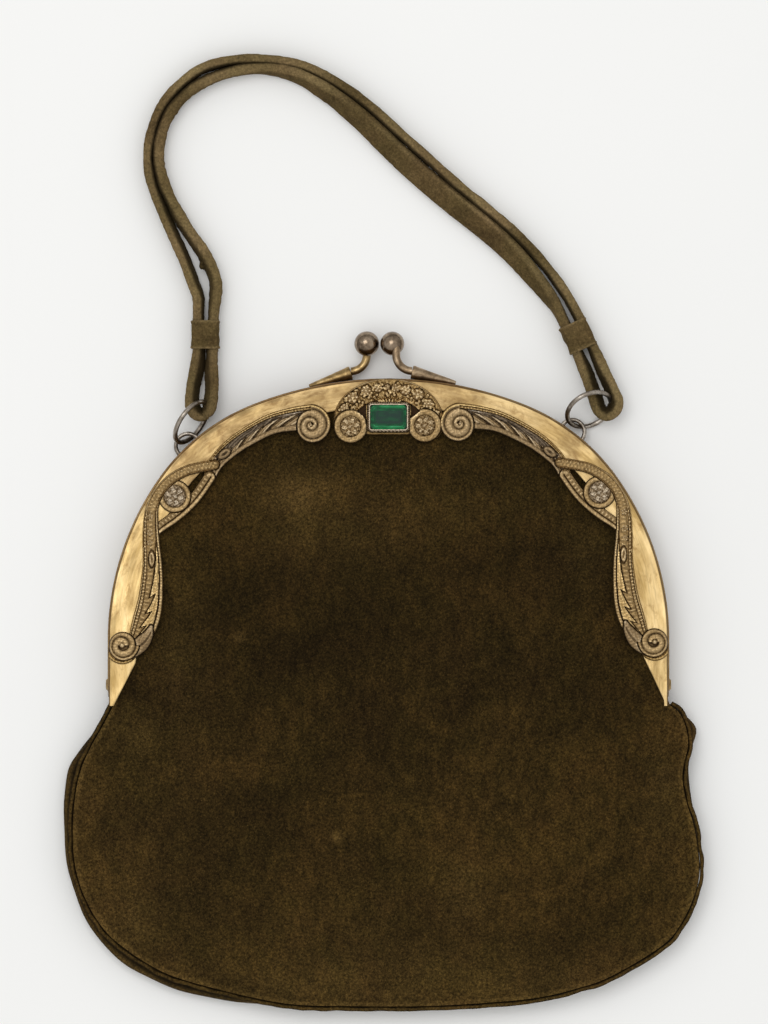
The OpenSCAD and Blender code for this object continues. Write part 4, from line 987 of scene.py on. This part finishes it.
    # smooth boss that rolls from the leaf into the lower volute, and a gilt ledge under it
    low = spot(*s["lowerAt"])
    dx, dy = x - low[0], y - low[1] + 0.6
    far = np.hypot(dx, dy)
    ledge = 0.9 + 0.3 * ridge(far, 4.9, 0.5) + 0.15 * beads(5 * np.arctan2(dy, dx), 1.0)
    inside = np.minimum(np.minimum(s["ledge"] - far, -dy), archSet["halfWide"] - 0.3 - x)
    layOn(field, inside, ledge, False, 0.0, 0.9)
    run, u, inside, long = bandOn(field, stations(s["boss"]))
    groove = 0.3 * bell(u + 0.35 - 0.5 * run / long, 0.1) * (run > 1.5)
    layOn(field, inside, 1.2 + 0.85 * ridge(u, 0, 1.05) - groove, True, 0.4, 0.3, -0.16)
    snailOn(field, low, 180, s["lowerRim"], s["lowerGroove"], tall, 0.15)
    snailOn(field, spot(*s["upperAt"]), 90, s["upperRim"], s["upperGroove"], tall, 0.25, 110)
    piece = castPiece(side + "_scroll_mount_cast", field, side == "left")
    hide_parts(side + "_scroll_mount")


scrollMount("left")
scrollMount("right")
print("scroll mounts carved")

centreSet = {
    "cell": 0.13, "tall": 2.2, "area": (-18.5, 18.5, 69.5, 93.0),
    "wide": 17.2, "baseY": 78.15, "rise": 13.3, "band": 6.6,
    "rosettes": [(-11.8, 76.5), (11.3, 76.8)], "collar": (5.35, 2.2), "flower": 3.05, "leaves": 120,
    "foot": (7.4, 0.5, 74, 73.9), "recess": (7.0, 2.9, 1.3, 81.3), "fan": (0.3, 83.9),
    "flowers": [
        (-14.9, 79.4, 1.1), (-13.7, 82.2, 1.4), (-11.2, 85.4, 1.75), (-7.0, 87.6, 1.6), (-3.3, 88.4, 1.35),
        (-0.4, 88.8, 0.95), (2.3, 88.5, 1.35), (5.3, 87.8, 1.55), (9.2, 86.5, 1.75), (12.4, 83.6, 1.5),
        (14.6, 80.4, 1.2),
    ],
    "bezelY": 79.35, "bezelCell": 0.12, "bezel": (13.48, 9.68, 1.0), "bezelTall": 2.6, "seat": 13.9,
    "stone": (11.4, 7.6, 0.8),
    # steps of the stone from below: inset, height and how bright
    "facets": [
        (3.2, 0.05, 0.1), (0.9, 0.35, 0.2), (0.0, 0.8, 0.15), (0.0, 1.1, 0.35), (0.45, 1.55, 1.0), (0.5, 1.58, 0.55),
        (1.0, 1.95, 0.95), (1.05, 1.98, 0.5), (1.75, 2.4, 0.45), (1.85, 2.4, 0.0), (2.6, 2.4, 0.08),
    ],
}


def cutBox(x, y, size):
    # distance inside a box with cut corners
    ax, ay, (wide, tall, cut) = np.abs(x), np.abs(y), size
    corner = (wide / 2 + tall / 2 - cut - ax - ay) / math.sqrt(2)
    return np.minimum(np.minimum(wide / 2 - ax, tall / 2 - ay), corner)


def centreMount():
    s, tall = centreSet, centreSet["tall"]
    field = newField(*s["area"], s["cell"])
    x, y = field["x"], field["y"]
    # flat back, with a low recess on each side of the bezel painted dark: painted shade where the casting is pierced
    dome = (1 - np.hypot(x / (s["wide"] - 0.3), (y - s["baseY"]) / (s["rise"] - 0.3))) * 13
    half, slope, footY, lowest = s["foot"]
    back = np.minimum(np.where(y > s["baseY"], dome, half + slope * (y - footY) - np.abs(x)), y - lowest)
    start, long, slope, recessY = s["recess"]
    pierced = np.minimum(np.abs(x) - start, long - (np.abs(x) - start) - slope * np.abs(y - recessY))
    layOn(field, back, np.full(x.shape, 0.8), False, 0.0, 0.3)
    # arch of small flowers and leaves, inside a thin edge
    turns, mid = np.radians(np.linspace(-14, 194, 36)), s["band"] / 2
    ringX, ringY = (s["wide"] - mid) * np.cos(turns), s["baseY"] + (s["rise"] - mid) * np.sin(turns)
    _, u, inside, _ = bandOn(field, np.column_stack([ringX, ringY, np.full(len(turns), s["band"])]))
    ground = 1.0 + 0.12 * ripple(x, y, 1.5, 81)
    high = np.select([u < -0.86, u < -0.78, u > 0.88], [1.6, 1.05, 1.55], ground)
    layOn(field, inside, high, False, 0.1, 0.6, 0.1)
    draw = np.random.default_rng(83)
    for turn in np.linspace(-6, 186, s["leaves"]):
        depth, aim = draw.uniform(0.9, s["band"] - 1.1), draw.uniform(0, 2 * math.pi)
        c, n = cosSin(turn)
        root = np.array([(s["wide"] - depth) * c, s["baseY"] + (s["rise"] - depth) * n])
        tip = root + 1.2 * np.array([math.cos(aim), math.sin(aim)])
        lobeOn(field, root, tip, 1.15, tall * draw.uniform(0.66, 0.78), 0.1, 0.5)
    for turn in np.linspace(-62, 62, 9):  # fan of leaves over the bezel
        c, n = cosSin(turn)
        fanX, fanY = s["fan"]
        root, tip = np.array([fanX + 2.6 * n, fanY]), np.array([fanX + 5.4 * n, fanY + 0.6 + 1.5 * c])
        lobeOn(field, root, tip, 1.0, tall * 0.78, 0.05, 0.7)
    for k, (fx, fy, r) in enumerate(s["flowers"]):
        flowerOn(field, (fx, fy), r * 1.12, 5 + k % 2, tall * 0.94, 0.7 * k, 0.25)
        pitOn(field, (fx, fy), 0.22, 0.22, 0, 0.3)
    for k, at in enumerate(s["rosettes"]):
        rosetteOn(field, at, *s["collar"], s["flower"], 6 + k, tall, 0.2 + 0.3 * k, 0.25)
    # painted shade: the recesses are laid in dark
    layOn(field, pierced, np.full(x.shape, 0.35), True, 0.0, 0.0, -0.7, 0.0)
    piece = castPiece("centre_mount_cast", field)
    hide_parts("centre_mount")

    # bezel with a milled lip, notched aslant along its lower side
    field = newField(-7.4, 7.4, s["bezelY"] - 5.6, s["bezelY"] + 5.6, s["bezelCell"])
    x, y = field["x"], field["y"] - s["bezelY"]
    inside = cutBox(x, y, s["bezel"])
    endwise = np.abs(x) / s["bezel"][0] > np.abs(y) / s["bezel"][1]
    around = np.where(endwise, y, x) + np.where(y < 0, 0.8 * inside, 0)
    pitch = np.where((y < 0) & (np.abs(x) < 5.4), 1.15, 0.7)
    milled = 1.75 + 0.65 * beads(around, pitch) * ridge(inside, 0.32, 0.36)
    high = np.select([inside < 0.62, inside < 1.05], [milled, 2.3 + 0.28 * ridge(inside, 0.85, 0.25)], 1.3)
    layOn(field, inside, high, False, np.where(inside < 1.05, 0.6, 0.0))
    bezel = castPiece("stone_bezel_cast", field, False, s["seat"])
    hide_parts("stone_bezel")


centreMount()


def stonePiece():
    s = centreSet
    zBase = s["seat"] + s["bezelTall"] / 2
    rings, glow = [], []
    for inset, lift, lit in s["facets"]:
        l, w = s["stone"][0] / 2 - inset, s["stone"][1] / 2 - inset
        c = min(max(s["stone"][2] - 0.2 * inset, 0.3), w * 0.8)
        loop = [(-l + c, -w), (l - c, -w), (l, -w + c), (l, w - c)]
        loop += [(-px, -py) for px, py in loop]
        rings.append([(px, s["bezelY"] + py, zBase + lift) for px, py in loop])
        glow += [lit * (1.0 if abs(py) > w - 0.01 else 0.55) for px, py in loop]
    points, faces = tubePart(rings)
    piece = makePiece("green_stone_cut", points, faces, glassFinish, "front", {"glow": glow}, 5)
    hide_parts("green_stone")


stonePiece()
print("centre mount and stone set")

# tapered ferrules lie along the edge of the arch, each with a rolled mouth
ferruleSet = {
    "back": {"mouth": (-11.7, 93.35, 3.4), "tip": (-24.8, 89.1, 3.4), "look": brassFinish},
    "front": {"mouth": (7.3, 93.5, 9.6), "tip": (21.0, 90.1, 9.6), "look": pewterFinish},
    "section": [
        (0.0, 1.2), (0.0, 1.9), (0.01, 2.1), (0.05, 2.16), (0.09, 2.04), (0.12, 2.0), (0.5, 1.4), (0.97, 0.72),
        (1.0, 0.5),
    ],
}


def makeFerrule(side):
    spec = ferruleSet[side]
    mouth, tip = np.array(spec["mouth"]), np.array(spec["tip"])
    run = tip - mouth
    across = np.array([-run[1], run[0], 0]) / np.linalg.norm(run)
    spin = roundTurn(40)
    circle = np.outer(np.cos(spin), across) + np.outer(np.sin(spin), (0, 0, 1.0))
    rings = [mouth + run * t + r * circle for t, r in ferruleSet["section"]]
    points, faces = tubePart(rings)
    points = points + 0.03 * ripple(points[:, 0], points[:, 1], 3.1, 95)[:, None] * across
    piece = makePiece(side + "_ferrule_cone", points, faces, spec["look"], side, None, 40)
    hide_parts(side + "_clasp_ferrule")


makeFerrule("back")
makeFerrule("front")

# small metal pieces keep their solids
for node, look in {
    "left_hinge_rivet": brassFinish, "right_hinge_rivet": brassFinish,
    "back_clasp_arm": brassFinish, "front_clasp_arm": pewterFinish,
    "back_clasp_ball": ballFinish, "front_clasp_ball": ballFinish,
    "left_ear": ringFinish, "right_ear": ringFinish, "left_ring": ringFinish, "right_ring": ringFinish,
}.items():
    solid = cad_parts[node]
    if not solid.material_slots:
        solid.data.materials.append(look)
    for place in solid.material_slots:
        place.material = look

# suede bag
bagSet = {
    "sideH": 9.0, "crown": 10.0, "crownPower": 1.6, "suede": 1.0, "cloth": 0.6, "heldZ": 11.7, "seatZ": 1.3,
    "mid": (0.0, -22.0), "around": 420, "cornerY": -11.65, "slipY": -5.15,
    "panelInset": 7.0, "backInward": 1.2, "liningInset": (9.6, 2.6), "liningDrop": 1.3, "liningZ": 1.75,
    "footY": (-8.6, -5.2, -1.6), "underPlate": 8.5,
    "rings": {"front_panel": 72, "back_panel": 40, "front_lining": 40, "back_lining": 30},
    # cut size and area of a panel and of a lining, in metres
    "panelCut": (0.199, 0.194), "liningCut": (0.194, 0.189), "panelArea": 0.0338, "liningShare": 0.95,
    # where the nap is paler or darker: middle, reach each way and how much
    "paler": [
        (-27.7, 56.0, 10, 6.5, 0.55), (-46.4, 10.8, 1.6, 1.2, 0.8), (-16.1, -51.4, 1.8, 1.2, 0.8),
        (-20, 44, 24, 12, 0.2), (-64, 8, 9, 30, 0.16), (-80, -50, 20, 26, 0.08), (-21, -78, 42, 14, 0.06),
        (24, -69, 8, 10, 0.22), (-78, -78, 16, 12, 0.16), (22, 52, 26, 9, 0.08), (60, 38, 8, 10, 0.16),
        (85, -37, 6, 14, 0.16), (-79, -20, 7, 8, 0.16), (6, -95, 58, 9, 0.2),
    ],
    "darker": [
        (-22, 10, 40, 22, 0.34), (48, 31, 24, 26, 0.26), (19, -15, 42, 24, 0.18), (78, -16, 16, 24, 0.2),
        (-52, 30, 15, 26, 0.3), (72, -78, 18, 14, 0.1), (-6, 31, 46, 15, 0.28), (34, 35, 12, 12, 0.2),
        (-36, -38, 32, 16, 0.14), (60, -27, 13, 15, 0.18), (-34, -67, 12, 9, 0.16), (26, 60, 16, 8, 0.16),
    ],
    # seam of the front panel, then the outer line of the side strip, from the right corner round to the left
    "seam": [
        (87.9, -10.5), (90.9, -13.0), (92.9, -17.5), (93.6, -23), (92.4, -28.5), (91.8, -33.5), (93, -40.5),
        (95.2, -47.5), (96.4, -54), (97, -60.5), (96.7, -65.5), (95, -71.5), (92, -77.8), (87.5, -84), (79, -90),
        (68, -96), (59.5, -98.9), (47, -101.9), (30, -103.6), (10, -104.6), (-10, -104.6), (-28, -104.2),
        (-41, -102.2), (-56.5, -98.5), (-68, -95), (-75.5, -91.2), (-82.3, -86.6), (-87.8, -81.9), (-92.6, -75.2),
        (-96.4, -66.7), (-98.2, -58.5), (-98.6, -49), (-97.8, -38.6), (-96.1, -30.8), (-93.2, -24), (-89.6, -17.6),
        (-85.9, -10.6),
    ],
    "outline": [
        (88.9, -10.3), (92.4, -13.0), (96.5, -17.8), (95.2, -23.6), (94.2, -29), (94.2, -34), (94.6, -40.6),
        (96, -47.6), (97, -54.2), (97.7, -60.7), (97.4, -65.8), (95.9, -72), (93, -78.4), (88.6, -84.7),
        (80.2, -90.9), (69, -97), (60.2, -100), (47.6, -103.1), (30.3, -105), (10.1, -106.1), (-10.1, -106.2),
        (-28.4, -105.8), (-41.3, -104.3), (-57.9, -101.8), (-68.9, -99), (-77.4, -95), (-85, -89.8),
        (-91, -83.6), (-95.7, -75.6), (-99, -66), (-101, -57), (-101.6, -49), (-101.3, -38.6), (-100.3, -30.6),
        (-96.6, -24.6), (-91.6, -17.8),
        (-87.3, -10.5),
    ],
}


def spread(path, count):
    s = lengthsAlong(path)
    at = np.linspace(0, s[-1], count)
    return np.column_stack([np.interp(at, s, path[:, k]) for k in range(path.shape[1])])


def panelEdge(low, archInset, inward):
    low = smoothCurve(low, 8)
    if inward:
        middle = np.array(bagSet["mid"])
        low = middle + (low - middle) * (1 - inward / np.linalg.norm(low - middle, axis=1))[:, None]
    # beside the feet the edge stays under the plate
    turns = np.concatenate([np.linspace(-98, -90, 4), np.linspace(-88, 88, 90), np.linspace(90, 98, 4)])
    footY = np.array(bagSet["footY"])
    reach = archSet["halfWide"] + bagSet["underPlate"] - archInset
    feet = {side: np.column_stack([side * (reach - footWide(side, footY)), footY]) for side in (-1, 1)}
    upper = np.vstack([feet[-1], archAt(turns, archInset), feet[1][::-1]])
    loop = np.vstack([low, upper, low[:1]])
    return spread(loop, bagSet["around"] + 1)[:-1]


def frontZ(g, held):
    s = bagSet
    crown = s["crown"] * np.clip(1 - g**2, 0, 1) ** s["crownPower"]
    return s["sideH"] + (s["heldZ"] - s["sideH"]) * held * g**2 + crown


def backZ(g, held):
    return bagSet["seatZ"] * held * g**5


def sheetPiece(node, kind, edge, height, look, marks=None):
    # g is how far out from the middle, and held is where the frame's channel holds the edge
    middle, thick, rings = np.array(bagSet["mid"]), bagSet[kind], bagSet["rings"][node]
    g = 1 - (1 - np.linspace(0.004, 1, rings)) ** 1.25
    held = softStep(bagSet["cornerY"], bagSet["slipY"], edge[:, 1])
    xy = middle + (edge - middle)[None, :, :] * g[:, None, None]
    z = height(g[:, None], held[None, :], xy[..., 0], xy[..., 1])
    top = np.dstack([xy, z])
    low = np.dstack([xy, z - thick])
    low[-1, :, :2] = middle + (low[-1, :, :2] - middle) * 0.9985
    count = len(edge)
    faces = gridFaces(rings, count, True, 0, False)
    faces += gridFaces(rings, count, True, rings * count, True)
    rim, lowRim = (rings - 1) * count, (2 * rings - 1) * count
    k = np.arange(count)
    n = (k + 1) % count
    faces += np.stack([rim + k, rim + n, lowRim + n, lowRim + k], 1).tolist()
    faces += [list(range(count))[::-1], [rings * count + i for i in range(count)]]
    points = np.vstack([top.reshape(-1, 3), low.reshape(-1, 3)])
    rub_and_highlight, dark = marks(g[:, None] + 0 * held[None, :], xy[..., 0], xy[..., 1]) if marks else (0 * z, 0 * z)
    rub_and_highlight = np.clip(np.concatenate([rub_and_highlight.ravel()] * 2), 0, 1)
    # painted shade on the underside and edge wall of the free edge, where it turns into the seam
    seamShade = 0.6 * softStep(0.9, 1, g)[:, None] * (held < 0.5)
    crease = np.clip(np.concatenate([dark.ravel(), seamShade.ravel()]), 0, 1)
    # the edge runs clockwise, so the faces are turned over
    faces = [f[::-1] for f in faces]
    return makePiece(node + "_" + kind, points, faces, look, None, {"rub_and_highlight": rub_and_highlight, "crease": crease}, 50)


def frontMarks(g, x, y):
    # lighter edge, rubbed nap with a painted highlight where the panel rolls over, and scuffs; the nap lies lighter
    # in some places and darker in others
    rub_and_highlight = (0.5 * softStep(0.98, 0.992, g) + 0.08 * softStep(0.86, 0.97, g)) * (y < -9)

    def clouds(label):
        return sum(m * np.exp(-(((x - px) / rx) ** 2) - ((y - py) / ry) ** 2) for px, py, rx, ry, m in bagSet[label])

    return rub_and_highlight + clouds("paler"), clouds("darker")


def frontShape(g, held, x, y):
    swell = 0.55 * ripple(x, y, 55, 61) + 0.16 * ripple(x, y, 19, 62)
    turned = 0.55 * softStep(0.985, 1, g) * (1 - held)
    return frontZ(g, held) + swell * np.clip(1 - g**4, 0, 1) - turned


# the bag folds across the hinges between these places; at the seam the side strip turns with the panel
panelSeam = panelEdge(bagSet["seam"], bagSet["panelInset"], 0)
frontPanel = sheetPiece("front_panel", "suede", panelSeam, frontShape, bagFinish, frontMarks)
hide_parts("front_panel")
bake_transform(frontPanel)


def backShape(g, held, x, y):
    return backZ(g, held) + bagSet["suede"] + 0 * x


backSeam = panelEdge(bagSet["outline"], bagSet["panelInset"], bagSet["backInward"])
backPanel = sheetPiece("back_panel", "suede", backSeam, backShape, bagFinish)
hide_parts("back_panel")
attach(backPanel, "back")


def frontLiningShape(g, held, x, y):
    return frontShape(g, held, x, y) - bagSet["liningDrop"] - 0.2 * g


liningSeam = panelEdge(bagSet["seam"], *bagSet["liningInset"])
frontLining = sheetPiece("front_lining", "cloth", liningSeam, frontLiningShape, liningFinish)
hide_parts("front_lining")
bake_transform(frontLining)


def backLiningShape(g, held, x, y):
    return backZ(g, held) + bagSet["liningZ"] + 0 * x


backLining = sheetPiece("back_lining", "cloth", liningSeam, backLiningShape, liningFinish)
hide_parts("back_lining")
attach(backLining, "back")

# side strip; its section runs from the back panel out to the fold and up to the seam: share of the strip, height
gussetSet = {
    "section": [
        (0.9, 1.15), (0.45, 1.6), (0.14, 2.5), (0, 3.7), (0.05, 4.9), (0.22, 6.1), (0.52, 7.2), (0.85, 7.85),
        (1.0, 7.95),
    ],
    "wide": 0.010, "wave": 0.35,
}


def gussetPiece():
    seam, outer = (smoothCurve(bagSet[k], 10) for k in ("seam", "outline"))
    middle = np.array(bagSet["mid"])
    inwards = (middle - outer) / np.linalg.norm(middle - outer, axis=1)[:, None]
    show = np.clip(np.sum((seam - outer) * inwards, 1), 0.4, 6)
    s = lengthsAlong(outer)
    rings, section = [], gussetSet["section"]
    wave = gussetSet["wave"] * ripple(s, 0, 24, 71)
    for sign, places in ((0, section), (1, section[::-1])):  # outside and inside
        for share, z in places:
            depth = np.maximum(show * share, 0.9 * (share > 0.8)) + sign * bagSet["suede"]
            bulge = wave * (1 - abs(z - 4) / 4)
            rings.append(np.column_stack([outer + inwards * (depth - bulge)[:, None], 0 * s + z]))
    rings = np.array(rings).transpose(1, 0, 2)
    points, faces = tubePart(rings, True)
    z = points[:, 2]
    # upper side lighter: a painted highlight, with rubbed patches from the ripple
    rub_and_highlight = np.clip(0.35 * softStep(4, 6.5, z) + 0.25 * ripple(points[:, 0], points[:, 1], 30, 73), 0, 1)
    # painted shade along the top, under the seam
    piece = makePiece("gusset_suede", points, faces, bagFinish, None, {"rub_and_highlight": rub_and_highlight, "crease": softStep(6.2, 7.4, z)})
    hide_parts("gusset")
    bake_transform(piece)


# thin welt sewn between the front panel and the side strip
weltSet = {"radius": 0.62, "out": 0.95, "z": 8.15, "sides": 12}


def weltPiece():
    path = smoothCurve(bagSet["seam"], 12)
    heading = np.gradient(path, axis=0)
    heading /= np.linalg.norm(heading, axis=1)[:, None]
    away = np.column_stack([-heading[:, 1], heading[:, 0]])
    s = lengthsAlong(path)
    path = path + away * (weltSet["out"] + 0.12 * ripple(s, 0, 9, 75))[:, None]
    spin = roundTurn(weltSet["sides"])
    fat = weltSet["radius"] * (1 + 0.08 * ripple(s, 0, 4, 76))
    rings = np.empty((len(s), len(spin), 3))
    rings[..., :2] = path[:, None, :] + away[:, None, :] * (fat[:, None] * np.cos(spin))[..., None]
    rings[..., 2] = weltSet["z"] + fat[:, None] * np.sin(spin)
    points, faces = tubePart(rings)
    top = np.tile(np.sin(spin), len(s))
    # painted highlight along the welt's top and painted shade on its sides, where it meets the panel and the side
    # strip
    marks = {"rub_and_highlight": 0.3 * softStep(0.5, 1, top), "crease": 0.8 * softStep(-0.2, -0.75, -1 + np.abs(top))}
    piece = makePiece("seam_welt", points, faces, bagFinish, None, marks)
    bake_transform(piece)


weltPiece()
gussetPiece()
print("suede bag made up")
